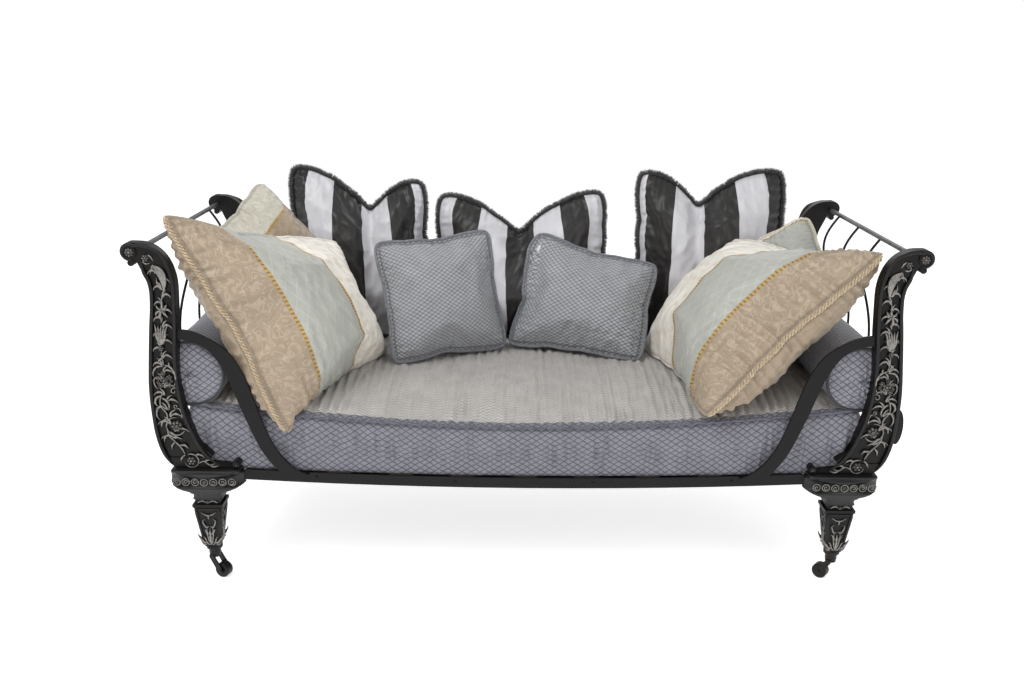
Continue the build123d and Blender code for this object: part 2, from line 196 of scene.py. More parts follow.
def tube(path, across, up, wide, tall, sides=8, closed=False):
    """An oval ring of half width wide and half height tall carried along the path."""
    a = np.linspace(0, 2 * np.pi, sides, endpoint=False)
    wide = np.broadcast_to(wide, len(path))[:, None, None]
    tall = np.broadcast_to(tall, len(path))[:, None, None]
    ring = (path[:, None] + across[:, None] * wide * np.cos(a)[None, :, None]
            + up[:, None] * tall * np.sin(a)[None, :, None])
    run = np.concatenate([[0], np.cumsum(np.linalg.norm(np.diff(path, axis=0), axis=1))])
    uv = np.stack(np.broadcast_arrays(run[:, None], a[None] / 6.3), -1)
    raised = np.broadcast_to(np.maximum(np.sin(a), 0), (len(path), sides))
    return skin(ring, wrap_u=closed, wrap_v=True, uv=uv, raised=raised)


def frames(path, facing, closed=False):
    """Across and up at each point: at right angles to the line, up nearest to facing."""
    if closed:
        run = unit(np.roll(path, -1, 0) - np.roll(path, 1, 0))
    else:
        run = unit(np.gradient(path, axis=0))
    across = unit(np.cross(run, facing))
    return across, np.cross(across, run)


print("line helpers ready")

# %% [markdown]
# ## Helpers for finishes
#
# Colours are written as sRGB hex and turned to linear once.  One function adds a node, sets
# its own properties and fills its inputs with numbers or with other nodes' outputs.

# %% Hex colours and one node adder
def linear(hexa):
    """Colour for a shader from an sRGB hex value."""
    c = np.array([int(hexa[i:i + 2], 16) for i in (1, 3, 5)]) / 255
    return (*np.where(c <= 0.04045, c / 12.92, ((c + 0.055) / 1.055) ** 2.4), 1.0)


def add(tree, kind, settings=(), inputs=(), out=0):
    """Adds a node and returns one output; inputs are numbers, colours or other outputs."""
    made = tree.nodes.new("ShaderNode" + kind)
    for key, value in dict(settings).items():
        setattr(made, key, value)
    for key, value in dict(inputs).items():
        if isinstance(value, bpy.types.NodeSocket):
            tree.links.new(value, made.inputs[key])
        else:
            made.inputs[key].default_value = value
    return made.outputs[out] if made.outputs else made


def finish(name):
    """An empty material with its shader and its output joined; gives material, tree, shader."""
    made = bpy.data.materials.new(name)
    made.use_nodes = True
    return made, made.node_tree, made.node_tree.nodes["Principled BSDF"]


print("cream is", [round(float(c), 3) for c in linear("#e3dac8")[:3]])

# %% [markdown]
# ## Black iron, cast and drawn
#
# The posts, capitals and legs are sand-cast iron under old black paint: a fine grain from the
# sand, a brown tint where rust shows through, and a soft gloss.  The straps, rails and
# spindles are drawn bar, so their paint is smoother and more even.  Paint hides the metal, so
# these are dielectrics, with a metallic share only where the relief is rubbed bare.

# %% Painted irons
def painted_iron(name, dark, rust, gloss, grain_mm, depth):
    """Black paint with a brown cast in broad patches and a grain of the given size."""
    made, tree, shader = finish(name)
    spot = add(tree, "TexCoord", out=3)
    patch = add(tree, "TexNoise", {}, {"Vector": spot, "Scale": 14.0, "Detail": 4.0})
    share = add(tree, "MapRange", {}, {"Value": patch, "From Min": 0.42, "From Max": 0.72})
    colour = add(tree, "Mix", {"data_type": "RGBA"},
                 {0: share, 6: linear(dark), 7: linear(rust)}, out=2)
    tree.links.new(colour, shader.inputs["Base Color"])
    grain = add(tree, "TexNoise", {}, {"Vector": spot, "Scale": 1000 / grain_mm, "Detail": 2.0})
    rough = add(tree, "MapRange", {}, {"Value": patch, "To Min": gloss - 0.08,
                                       "To Max": gloss + 0.12})
    tree.links.new(rough, shader.inputs["Roughness"])
    bump = add(tree, "Bump", {}, {"Height": grain, "Strength": depth, "Distance": 0.0006})
    tree.links.new(bump, shader.inputs["Normal"])
    shader.inputs["IOR"].default_value = 1.5
    shader.inputs["Specular IOR Level"].default_value = 0.24
    return made


cast_iron = painted_iron("cast_iron_black_paint", "#060606", "#150f0b", 0.40, 3.0, 0.5)
bar_iron = painted_iron("drawn_bar_black_paint", "#060607", "#0c0b0b", 0.40, 6.0, 0.2)
# The top rails' grey is painted highlight: the light that their upper faces catch, painted into the
# colour of their black paint.
rail_iron_painted_highlight = painted_iron("top_rail_black_paint_painted_highlight", "#3a3b3e", "#6b6d71", 0.3, 6.0, 0.2)
caster_iron = painted_iron("caster_iron_worn", "#0e0d0c", "#241a14", 0.36, 2.5, 0.6)
slat_steel = painted_iron("spring_steel_slats", "#2b2a2a", "#4a3a30", 0.5, 3.0, 0.3)
dressed = {
    cast_iron: [f"{stem}_{side}_{end}" for stem in ("post", "capital", "leg")
                for side, end in corners],
    bar_iron: [f"strap_{side}_{end}" for side, end in corners]
    + [f"{stem}_{end}" for stem in ("end_bar", "end_spindles") for end in ("left", "right")]
    + ["side_rail_front", "side_rail_back", "rail_rivets"],
    rail_iron_painted_highlight: ["top_rail_left", "top_rail_right"],
    caster_iron: [f"caster_{stem}_{side}_{end}"
                  for stem in ("socket", "fork", "wheel", "axle") for side, end in corners],
    slat_steel: ["slats"],
}
for paint, names in dressed.items():
    for name in names:
        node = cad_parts[name]
        node.data.materials.clear()
        node.data.materials.append(paint)
print("iron on", sum(len(names) for names in dressed.values()), "nodes")

# %% [markdown]
# The vine was gilded or silvered once and is rubbed now: bright on its ridges, brown in its
# hollows.  Each relief mesh carries a value named raised, 0 at the ground and 1 on a ridge,
# and the finish mixes by it.

# %% Rubbed relief
def rubbed(name, low, middle, bright, cut):
    """Dark ground, then bronze, then bare pewter on the ridges, broken up by a fine noise."""
    made, tree, shader = finish(name)
    spot = add(tree, "TexCoord", out=3)
    height = add(tree, "Attribute", {"attribute_name": "raised"}, out=2)
    wear = add(tree, "TexNoise", {}, {"Vector": spot, "Scale": 130.0, "Detail": 5.0,
                                      "Roughness": 0.7})
    spread = add(tree, "Math", {"operation": "MULTIPLY_ADD"}, {0: wear, 1: 0.9, 2: -0.45})
    share = add(tree, "Math", {"operation": "ADD"}, {0: height, 1: spread})
    ramp = tree.nodes.new("ShaderNodeValToRGB")
    ramp.color_ramp.elements[0].position, ramp.color_ramp.elements[0].color = 0.25, linear(low)
    ramp.color_ramp.elements[1].position, ramp.color_ramp.elements[1].color = 0.98, linear(bright)
    ramp.color_ramp.elements.new(cut).color = linear(middle)
    tree.links.new(share, ramp.inputs[0])
    tree.links.new(ramp.outputs[0], shader.inputs["Base Color"])
    metal = add(tree, "MapRange", {}, {"Value": share, "From Min": 0.4, "From Max": 1.0,
                                       "To Max": 0.55})
    tree.links.new(metal, shader.inputs["Metallic"])
    rough = add(tree, "MapRange", {}, {"Value": wear, "To Min": 0.38, "To Max": 0.62})
    tree.links.new(rough, shader.inputs["Roughness"])
    bump = add(tree, "Bump", {}, {"Height": wear, "Strength": 0.5, "Distance": 0.0012})
    tree.links.new(bump, shader.inputs["Normal"])
    return made


relief_metal = rubbed("rubbed_pewter_relief", "#0d0a08", "#312d2a", "#93908c", 0.66)
rim_metal = rubbed("rubbed_black_rim", "#080808", "#0e0d0d", "#262524", 0.85)
print("relief finishes ready")

# %% [markdown]
# ## The posts' rims and the vine
#
# A post is a flat casting with a rounded rim along both edges and a vine in the sunk panel
# between them.  The post's edges repeat the stations in the part's own source: at shares of the
# height, how far in from the bed's end.  Ornament is drawn in two dimensions on the panel, as
# short lines that swell and taper, and a rounded section is carried along each line.  Its
# places come from a separate perspective solve, and aren't worked out from the frame.

# %% The post's edges and the panel's own frame
edge_shares = [0.0, 0.049, 0.095, 0.170, 0.242, 0.366, 0.503, 0.641, 0.760, 0.828, 0.888]
outer_in = [0.080, 0.061, 0.050, 0.041, 0.038, 0.037, 0.044, 0.053, 0.061, 0.060, 0.046]
inner_in = [0.216, 0.177, 0.157, 0.138, 0.124, 0.113, 0.112, 0.119, 0.123, 0.124, 0.118]
post_low, post_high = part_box("post_front_right")
panel_y = post_low.y + 0.003
end_x = post_high.x
scroll_z, foot_z = post_high.z, post_low.z
eye = np.array([end_x - 0.023, scroll_z - 0.023])


def edges_at(z):
    """X of the post's outer and inner edge at heights z."""
    share = (z - foot_z) / (scroll_z - foot_z)
    return (end_x - smooth_line(edge_shares, outer_in, share),
            end_x - smooth_line(edge_shares, inner_in, share))


def at_post(flat, y):
    """Points (x, z) on the front right post as points in space, at depth y."""
    return np.stack([flat[:, 0], np.full(len(flat), y), flat[:, 1]], -1)


def to_corner(skins, side, end):
    """Skins of the front right corner mirrored to another corner."""
    turn = np.array([1 if end == "right" else -1, 1 if side == "front" else -1, 1])
    return [(s[0] * turn, *s[1:]) for s in skins]


outward = np.array([0.0, -1.0, 0.0])
print("post from", round(foot_z, 3), "to", round(scroll_z, 3))

# %% Ribbons, leaves and flowers on the panel
def ribbon(flat, wide, tall, count=28, sides=9, lobes=0, lift=0.0):
    """Rounded relief along a line of (x, z) points: its half width swells as a sine from root
    to tip, notched into lobes, and its foot lies on the panel."""
    line = along(flat, count)
    s = np.linspace(0, 1, count)
    swell = np.sin(np.pi * (0.06 + 0.94 * s) ** 0.8) ** 0.75
    swell[0] = swell[-1] = 0
    notch = 1 - 0.32 * np.abs(np.sin(np.pi * lobes * s)) if lobes else 1.0
    path = at_post(line, panel_y)
    path[:, 1] -= lift * np.sin(np.pi * s)
    across, up = frames(path, np.broadcast_to(outward, path.shape))
    return tube(path, across, up, wide * swell * notch, tall * swell, sides)


def stem(flat, wide, tall, count=30, sides=7):
    """Relief of nearly even width along a line, closed at both ends."""
    line = along(flat, count)
    s = np.linspace(0, 1, count)
    swell = np.minimum(1, 6 * np.minimum(s, 1 - s)) ** 0.5
    path = at_post(line, panel_y)
    across, up = frames(path, np.broadcast_to(outward, path.shape))
    return tube(path, across, up, wide * swell, tall * swell, sides)


def curl(centre, radius, turns, start, wide, tall, side=1, taper=0.75):
    """A scroll: a line that winds in to a centre while it thins, with a knob at its end."""
    a = np.linspace(0, 1, 44)
    r = radius * (1 - taper * a)
    angle = np.radians(start) + side * 2 * np.pi * turns * a
    line = np.array(centre) + np.stack([r * np.cos(angle), r * np.sin(angle)], -1)
    path = at_post(line, panel_y)
    across, up = frames(path, np.broadcast_to(outward, path.shape))
    swell = np.minimum(1, 8 * np.minimum(a, 1 - a)) ** 0.5 * (1 - 0.3 * a)
    return tube(path, across, up, wide * swell, tall * swell, 7)


def flower(centre, radius, petals, tall, y=None, rings=9, spin=0.0):
    """A round of petals: height falls from a boss to a groove, rises on the petals and falls
    to the ground; the rim swings in between petals."""
    rho = np.linspace(0, 1, rings)[:, None]
    a = np.linspace(0, 2 * np.pi, 6 * petals, endpoint=False)[None]
    lobe = np.abs(np.cos(petals * (a + spin) / 2))
    rim = radius * (0.72 + 0.28 * lobe**0.6)
    high = np.where(rho < 0.3, np.sqrt(np.maximum(0, 1 - (rho / 0.34) ** 2)),
                    0.85 * np.sin(np.pi * np.clip((rho - 0.24) / 0.76, 0, 1)) ** 0.7
                    * (0.55 + 0.45 * lobe))
    x = centre[0] + rho * rim * np.cos(a)
    z = centre[1] + rho * rim * np.sin(a)
    ground = panel_y if y is None else y
    return skin(np.stack([x, ground - tall * high + 0 * x, z], -1), wrap_v=True, raised=high)


def at_in(inset, z):
    """A place on the panel by its distance in from the bed's end and its height."""
    return (end_x - inset, z)


print("ornament shapes ready")

# %% One vine, drawn from the scroll down to the foot
def vine():
    """Every leaf, stem and flower of a front right post."""
    p = at_in
    parts = [flower(p(0.060, 0.864), 0.010, 6, 0.005, y=panel_y - 0.002)]
    parts += [ribbon([p(0.066, 0.872), p(0.074, 0.866), p(0.078, 0.856)], 0.003, 0.004),
              ribbon([p(0.052, 0.856), p(0.060, 0.850), p(0.070, 0.851)], 0.003, 0.004)]
    # The C of acanthus: five ribs that spring from one root and fall over together.
    for k in range(5):
        f = k / 4
        parts.append(ribbon([p(0.098, 0.783), p(0.104 - 0.010 * f, 0.806 + 0.004 * f),
                             p(0.102 - 0.016 * f, 0.828 + 0.002 * f),
                             p(0.090 - 0.012 * f, 0.842 + 0.004 * f),
                             p(0.076 + 0.006 * f - 0.004 * k, 0.843 - 0.006 * k)],
                            0.0036, 0.0062, lift=0.002))
    parts += [curl(p(0.083, 0.832), 0.009, 1.1, 60, 0.0026, 0.005, side=1),
              ribbon([p(0.098, 0.783), p(0.090, 0.792), p(0.082, 0.806), p(0.083, 0.816)],
                     0.004, 0.005, lobes=3),
              stem([p(0.098, 0.786), p(0.093, 0.772), p(0.089, 0.756)], 0.0022, 0.004)]
    # Spiky leaves in threes.
    for dx, dz, wide in ((0, -0.030, 0.006), (-0.015, -0.018, 0.005), (0.015, -0.020, 0.005),
                         (-0.013, 0.012, 0.0045), (0.014, 0.014, 0.0045), (0.001, 0.022, 0.005)):
        root = p(0.087, 0.735)
        tip = (root[0] - dx, root[1] + dz)
        mid = (root[0] - dx * 0.7 - dz * 0.12, root[1] + dz * 0.45)
        parts.append(ribbon([root, mid, tip], wide, 0.0062, lobes=2, lift=0.002))
    parts.append(flower(p(0.087, 0.736), 0.007, 5, 0.008))
    # The bell: leaf tips flare at its mouth, ribs run down to a collar and a bud.
    for k in (-2, -1, 0, 1, 2):
        parts.append(ribbon([p(0.078, 0.645), p(0.080 + 0.0045 * k, 0.665),
                             p(0.081 + 0.0058 * k, 0.684),
                             p(0.083 + 0.0085 * k, 0.700 - 0.003 * (abs(k) < 2))],
                            0.0046, 0.0072, lift=0.001))
    parts += [ribbon([p(0.062, 0.672), p(0.081, 0.667), p(0.099, 0.673)], 0.0028, 0.0085),
              ribbon([p(0.068, 0.652), p(0.078, 0.648), p(0.089, 0.653)], 0.0036, 0.0080),
              flower(p(0.077, 0.637), 0.0085, 6, 0.008),
              stem([p(0.088, 0.756), p(0.086, 0.720), p(0.083, 0.700)], 0.0020, 0.004),
              stem([p(0.077, 0.632), p(0.077, 0.614), p(0.080, 0.590)], 0.0022, 0.004),
              ribbon([p(0.078, 0.612), p(0.070, 0.606), p(0.064, 0.596)], 0.0032, 0.0045)]
    # The rose: a heap of small flowers inside a wrap of leaves.
    rose = np.array(p(0.078, 0.553))
    heap = [(0, 0, 0.0125), (0.014, 0.006, 0.0085), (-0.013, 0.008, 0.0085), (0.002, 0.017, 0.008),
            (0.010, -0.013, 0.0085), (-0.010, -0.012, 0.0085), (0.016, -0.006, 0.006),
            (-0.017, -0.002, 0.006)]
    for k, (dx, dz, radius) in enumerate(heap):
        parts.append(flower((rose[0] + dx, rose[1] + dz), radius, 5 + k % 2, 0.0085 - 0.0004 * k,
                            spin=0.4 * k))
    parts += [ribbon([p(0.080, 0.594), p(0.096, 0.588), p(0.106, 0.570), p(0.105, 0.548),
                      p(0.094, 0.530)], 0.0048, 0.0068, lobes=5, lift=0.001),
              ribbon([p(0.092, 0.600), p(0.094, 0.590), p(0.104, 0.578)], 0.0034, 0.005),
              ribbon([p(0.079, 0.590), p(0.062, 0.588), p(0.052, 0.574), p(0.051, 0.558)],
                     0.0044, 0.0064, lobes=4),
              ribbon([p(0.053, 0.560), p(0.052, 0.543), p(0.060, 0.527)], 0.0032, 0.005, lobes=2),
              curl(p(0.098, 0.524), 0.008, 1.0, 120, 0.0022, 0.004, side=-1)]
    # The S of stem below it, with leaves that hug the curve.
    parts += [stem([p(0.076, 0.526), p(0.064, 0.508), p(0.062, 0.486), p(0.076, 0.462),
                    p(0.074, 0.440), p(0.070, 0.424)], 0.0026, 0.0048, count=50),
              ribbon([p(0.066, 0.512), p(0.054, 0.506), p(0.050, 0.494), p(0.056, 0.480)],
                     0.0052, 0.0064, lobes=3, lift=0.001),
              ribbon([p(0.066, 0.506), p(0.078, 0.500), p(0.084, 0.486), p(0.080, 0.470)],
                     0.0048, 0.0062, lobes=3, lift=0.001),
              ribbon([p(0.062, 0.484), p(0.052, 0.472), p(0.051, 0.456), p(0.058, 0.444)],
                     0.0040, 0.0056, lobes=3),
              ribbon([p(0.074, 0.450), p(0.062, 0.440), p(0.058, 0.426)], 0.0044, 0.005)]
    # Small leaves fill the ground on alternate sides, all the way up.
    levels = np.arange(0.395, 0.83, 0.0195)
    outer, inner = edges_at(levels)
    for k, (z, x, half) in enumerate(zip(levels, (outer + inner) / 2,
                                         np.abs(outer - inner) / 2 - 0.009)):
        way = half * (-1) ** k
        parts += [ribbon([(x, z), (x + 0.4 * way, z + 0.010), (x + 0.8 * way, z + 0.006),
                          (x + way, z - 0.003)], 0.0046, 0.0052, lobes=2),
                  ribbon([(x, z + 0.002), (x + 0.2 * way, z + 0.015), (x + 0.5 * way, z + 0.021)],
                         0.0034, 0.0046)]
    # The second flower inside its round scroll.
    parts += [flower(p(0.098, 0.430), 0.0165, 7, 0.008),
              flower(p(0.098, 0.430), 0.0080, 5, 0.0105, spin=0.5),
              curl(p(0.095, 0.430), 0.0245, 0.72, 205, 0.0026, 0.0050, side=1, taper=0.06),
              ribbon([p(0.112, 0.452), p(0.114, 0.466), p(0.106, 0.478), p(0.098, 0.476)],
                     0.0034, 0.005),
              curl(p(0.100, 0.483), 0.0055, 1.1, 270, 0.0018, 0.004, side=1)]
    # Leaves running in to the foot.
    parts += [stem([p(0.071, 0.424), p(0.078, 0.402), p(0.092, 0.386), p(0.106, 0.368),
                    p(0.112, 0.352)], 0.0027, 0.0048, count=40),
              ribbon([p(0.075, 0.408), p(0.066, 0.400), p(0.062, 0.386)], 0.0044, 0.0056, lobes=2),
              ribbon([p(0.082, 0.398), p(0.096, 0.400), p(0.108, 0.394)], 0.0042, 0.0056, lobes=2),
              ribbon([p(0.090, 0.388), p(0.082, 0.378), p(0.080, 0.364)], 0.0044, 0.0054, lobes=2),
              ribbon([p(0.100, 0.378), p(0.114, 0.378), p(0.122, 0.368)], 0.0040, 0.0054),
              flower(p(0.127, 0.335), 0.0135, 6, 0.0080),
              curl(p(0.127, 0.335), 0.0190, 0.8, 60, 0.0026, 0.0050, side=1, taper=0.08),
              ribbon([p(0.112, 0.352), p(0.104, 0.344), p(0.098, 0.330)], 0.0044, 0.0054, lobes=2),
              ribbon([p(0.134, 0.350), p(0.150, 0.353), p(0.162, 0.342)], 0.0042, 0.0054, lobes=3),
              stem([p(0.140, 0.325), p(0.158, 0.334), p(0.174, 0.324), p(0.188, 0.328)],
                   0.0024, 0.0045),
              ribbon([p(0.160, 0.333), p(0.170, 0.338), p(0.178, 0.334)], 0.0036, 0.005),
              ribbon([p(0.172, 0.325), p(0.182, 0.319), p(0.196, 0.322)], 0.0036, 0.005)]
    return parts


vine_skins = vine()
for side, end in corners:
    made = piece(f"vine_relief_{side}_{end}", to_corner(vine_skins, side, end), relief_metal,
                 replaces=[f"vine_{side}_{end}"])
print("vine of", len(vine_skins), "parts,", len(made.data.polygons), "faces a post")

# %% Rims, and the eye of the scroll
def rim(flat, wide, tall, count=90):
    """Half-round bead along a line of the post's face, closed at both ends."""
    line = along(flat, count)
    path = at_post(line, post_low.y)
    across, up = frames(path, np.broadcast_to(outward, path.shape))
    s = np.linspace(0, 1, count)
    swell = np.minimum(1, 14 * np.minimum(s, 1 - s)) ** 0.5
    return tube(path, across, up, wide * swell, tall * swell, 10)


z = np.linspace(foot_z + 0.008, foot_z + 0.88 * (scroll_z - foot_z), 22)
outer_x, inner_x = edges_at(z)
turn = np.radians(np.linspace(235, -120, 26))
volute = eye + 0.0185 * np.stack([np.cos(turn), np.sin(turn)], -1)
outer_line = np.concatenate([np.stack([outer_x - 0.0045, z], -1),
                             [[eye[0] - 0.026, eye[1] - 0.014]]])
inner_line = np.concatenate([np.stack([inner_x + 0.0045, z], -1),
                             [[eye[0] - 0.066, eye[1] + 0.004], [eye[0] - 0.044, eye[1] + 0.013],
                              [eye[0] - 0.020, eye[1] + 0.0175]], volute[8:]])
rim_skins = [rim(outer_line, 0.0046, 0.0034), rim(inner_line, 0.0046, 0.0034, count=150)]
toe = np.array([end_x - 0.240, foot_z + 0.010])
toe_turn = np.radians(np.linspace(-60, 250, 20))
rim_skins.append(rim(toe + 0.0062 * np.stack([np.cos(toe_turn), np.sin(toe_turn)], -1),
                     0.0026, 0.0028, count=30))
eye_skins = [flower(tuple(eye), 0.0125, 8, 0.0050, y=post_low.y),
             flower(tuple(toe), 0.0042, 5, 0.0030, y=post_low.y)]
for side, end in corners:
    piece(f"post_rims_{side}_{end}", to_corner(rim_skins, side, end), rim_metal)
    piece(f"scroll_eye_{side}_{end}", to_corner(eye_skins, side, end), relief_metal)
print("rims", len(rim_skins), "per post")

# %% [markdown]
# ## Capitals
#
# A capital is one casting of stepped mouldings: a neck, a cove, two fine beads, then a broad
# band with round ends that carries seven roundels, and a thin plate.  Its section at every
# height is a rounded rectangle, so one profile of half width and half depth makes it all.

# %% A stack of rounded rectangles
def rounded_section(half_wide, half_deep, radius, count=96):
    """Outline of a rounded rectangle: a superellipse whose power grows as the corner shrinks."""
    a = np.linspace(0, 2 * np.pi, count, endpoint=False)
    power = 2 / np.clip(np.minimum(half_wide, half_deep) / radius, 1, 9)
    c, s = np.cos(a), np.sin(a)
    return np.stack([half_wide * np.sign(c) * np.abs(c) ** power,
                     half_deep * np.sign(s) * np.abs(s) ** power], -1)


def stacked(centre, levels):
    """Rounded rectangles (height, half width, half depth, corner) joined from foot to top, with
    both ends closed."""
    rings = []
    for z, wide, deep, radius in levels:
        flat = rounded_section(wide, deep, radius)
        rings.append(np.column_stack([centre[0] + flat[:, 0], centre[1] + flat[:, 1],
                                      np.full(len(flat), z)]))
    ends = [np.repeat(rings[k].mean(axis=0, keepdims=True), len(rings[k]), axis=0)
            for k in (0, -1)]
    return skin(np.stack([ends[0], *rings, ends[1]]), wrap_v=True)


low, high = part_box("capital_front_right")
axis = np.array([(low.x + high.x) / 2, (post_low.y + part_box("post_front_right")[1].y) / 2])
capital_levels = [(0.2320, 0.039, 0.031, 0.006), (0.2400, 0.037, 0.029, 0.006),
                  (0.2470, 0.040, 0.031, 0.006), (0.2500, 0.045, 0.034, 0.006),
                  (0.2530, 0.047, 0.035, 0.006), (0.2545, 0.052, 0.0355, 0.006),
                  (0.2575, 0.066, 0.036, 0.007), (0.2600, 0.071, 0.037, 0.007),
                  (0.2620, 0.0715, 0.0375, 0.008), (0.2625, 0.078, 0.038, 0.008),
                  (0.2650, 0.083, 0.0385, 0.009), (0.2672, 0.083, 0.0385, 0.009),
                  (0.2680, 0.089, 0.0375, 0.010), (0.2700, 0.0945, 0.0395, 0.018),
                  (0.2735, 0.0975, 0.041, 0.026), (0.2760, 0.0965, 0.0395, 0.026),
                  (0.2780, 0.0955, 0.0385, 0.026), (0.2940, 0.0955, 0.0385, 0.026),
                  (0.2960, 0.0965, 0.0395, 0.026), (0.2985, 0.0975, 0.041, 0.026),
                  (0.3020, 0.0945, 0.0395, 0.018), (0.3040, 0.088, 0.035, 0.010),
                  (0.3060, 0.085, 0.032, 0.006), (0.3080, 0.088, 0.035, 0.006),
                  (0.3110, 0.089, 0.036, 0.006), (0.3133, 0.087, 0.034, 0.006),
                  (0.3140, 0.084, 0.031, 0.006)]
capital_skins = [stacked(axis, capital_levels)]
capital_skins[0] = (*capital_skins[0][:3], np.full(len(capital_skins[0][0]), 0.32))
band_y, band_z = axis[1] - 0.0385, 0.286


def ring_of(centre, radius, thick, y, count=28):
    """A round bead on the band: a tube along a circle."""
    a = np.linspace(0, 2 * np.pi, count, endpoint=False)
    path = np.stack([centre[0] + radius * np.cos(a), np.full(count, y),
                     centre[1] + radius * np.sin(a)], -1)
    across, up = frames(path, np.broadcast_to(outward, path.shape), closed=True)
    return tube(path, across, up, thick, 1.4 * thick, 7, closed=True)


roundels = []
for k in range(-3, 4):
    place = (axis[0] + 0.0235 * k, band_z)
    y = band_y + 0.0012 * abs(k)
    roundels.append(ring_of(place, 0.0092, 0.0016, y - 0.001))
    if k == 0:
        roundels.append(flower(place, 0.0072, 6, 0.0050, y=y))
    else:
        a = np.linspace(0, 1, 26)
        spin = np.radians(200) - np.sign(k) * 2 * np.pi * 1.1 * a
        r = 0.0066 * (1 - 0.8 * a)
        path = np.stack([place[0] + np.sign(k) * r * np.cos(spin), np.full(26, y - 0.0012),
                         place[1] + r * np.sin(spin)], -1)
        across, up = frames(path, np.broadcast_to(outward, path.shape))
        swell = np.minimum(1, 8 * np.minimum(a, 1 - a)) ** 0.5
        roundels.append(tube(path, across, up, 0.0016 * swell, 0.0030 * swell, 7))
for side, end in corners:
    piece(f"capital_cast_{side}_{end}", to_corner(capital_skins, side, end), rim_metal,
          replaces=[f"capital_{side}_{end}"])
    piece(f"capital_roundels_{side}_{end}", to_corner(roundels, side, end), relief_metal)
print("capitals with", len(roundels), "roundel parts")

# %% [markdown]
# ## Legs
#
# Each leg is a square taper with a plain border, a small swag under its shoulder and acanthus
# leaves that climb from the ankle; two of them turn out past the corners as wings.

# %% Relief on the legs' faces
leg_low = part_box("leg_front_right")[0]
ankle_z, shoulder_z = leg_low.z, 0.210
ankle_half, shoulder_half = np.array([0.019, 0.019]), np.array([0.036, 0.030])


def leg_face(flat, face):
    """Points (across in half widths, height) on a face of the taper: 0 front, 1 right, 2 back,
    3 left; gives the points, and the face's outward normal."""
    share = (flat[:, 1] - ankle_z) / (shoulder_z - ankle_z)
    half = ankle_half + share[:, None] * (shoulder_half - ankle_half)
    a = np.radians(90 * face)
    wide, deep = (half[:, 0], half[:, 1]) if face % 2 == 0 else (half[:, 1], half[:, 0])
    away = np.array([np.sin(a), -np.cos(a)])
    beside = np.array([np.cos(a), np.sin(a)])
    ground = axis + flat[:, :1] * wide[:, None] * beside + deep[:, None] * away
    return np.column_stack([ground, flat[:, 1]]), np.array([away[0], away[1], 0.0])


def leg_ribbon(flat, wide, tall, face, lobes=0, count=22, even=False):
    """Relief along a line on a leg's face; a leaf swells and a border stays even."""
    line = along(flat, count)
    path, away = leg_face(line, face)
    s = np.linspace(0, 1, count)
    even_swell = np.minimum(1, 10 * np.minimum(s, 1 - s)) ** 0.5
    leaf_swell = np.sin(np.pi * (0.05 + 0.95 * s) ** 0.85) ** 0.7
    swell = even_swell if even else leaf_swell
    swell[0] = swell[-1] = 0
    notch = 1 - 0.3 * np.abs(np.sin(np.pi * lobes * s)) if lobes else 1.0
    across, up = frames(path, np.broadcast_to(away, path.shape))
    return tube(path, across, up, wide * swell * notch, tall * swell, 8)


borders, leaves = [], []
for face in range(4):
    for sign in (-1, 1):
        borders.append(leg_ribbon([(0.88 * sign, 0.097), (0.88 * sign, 0.150),
                                   (0.88 * sign, 0.205)], 0.0026, 0.0024, face, even=True))
    borders.append(leg_ribbon([(-0.9, 0.205), (0, 0.205), (0.9, 0.205)], 0.0026, 0.0024, face,
                              even=True))
    leaves += [leg_ribbon([(-0.62, 0.198), (-0.3, 0.190), (0, 0.187), (0.3, 0.190),
                           (0.62, 0.198)], 0.0026, 0.0036, face, lobes=6),
               leg_ribbon([(0, 0.190), (0.02, 0.182), (0, 0.174)], 0.0026, 0.0034, face),
               leg_ribbon([(0, 0.098), (0.02, 0.122), (0, 0.150)], 0.0060, 0.0060, face, 4)]
    for sign in (-1, 1):
        leaves += [leg_ribbon([(0, 0.100), (0.25 * sign, 0.118), (0.35 * sign, 0.136),
                               (0.60 * sign, 0.146)], 0.0036, 0.0054, face, 3),
                   leg_ribbon([(0.1 * sign, 0.098), (0.50 * sign, 0.108), (0.66 * sign, 0.120),
                               (0.86 * sign, 0.124)], 0.0036, 0.0052, face, 3),
                   leg_ribbon([(0.1 * sign, 0.128), (0.3 * sign, 0.146), (0.25 * sign, 0.160)],
                              0.0034, 0.0046, face, 2),
                   leg_ribbon([(0.05 * sign, 0.154), (0.42 * sign, 0.156), (0.55 * sign, 0.168),
                               (0.30 * sign, 0.176)], 0.0032, 0.0042, face, 2)]
    if face % 2 == 0:
        for sign in (-1, 1):
            leaves += [leg_ribbon([(0.5 * sign, 0.104), (0.95 * sign, 0.110),
                                   (1.18 * sign, 0.118), (1.34 * sign, 0.128),
                                   (1.28 * sign, 0.133)], 0.0056, 0.0062, face, 3),
                       leg_ribbon([(0.6 * sign, 0.100), (1.1 * sign, 0.103),
                                   (1.28 * sign, 0.108)], 0.0040, 0.0052, face, 2)]
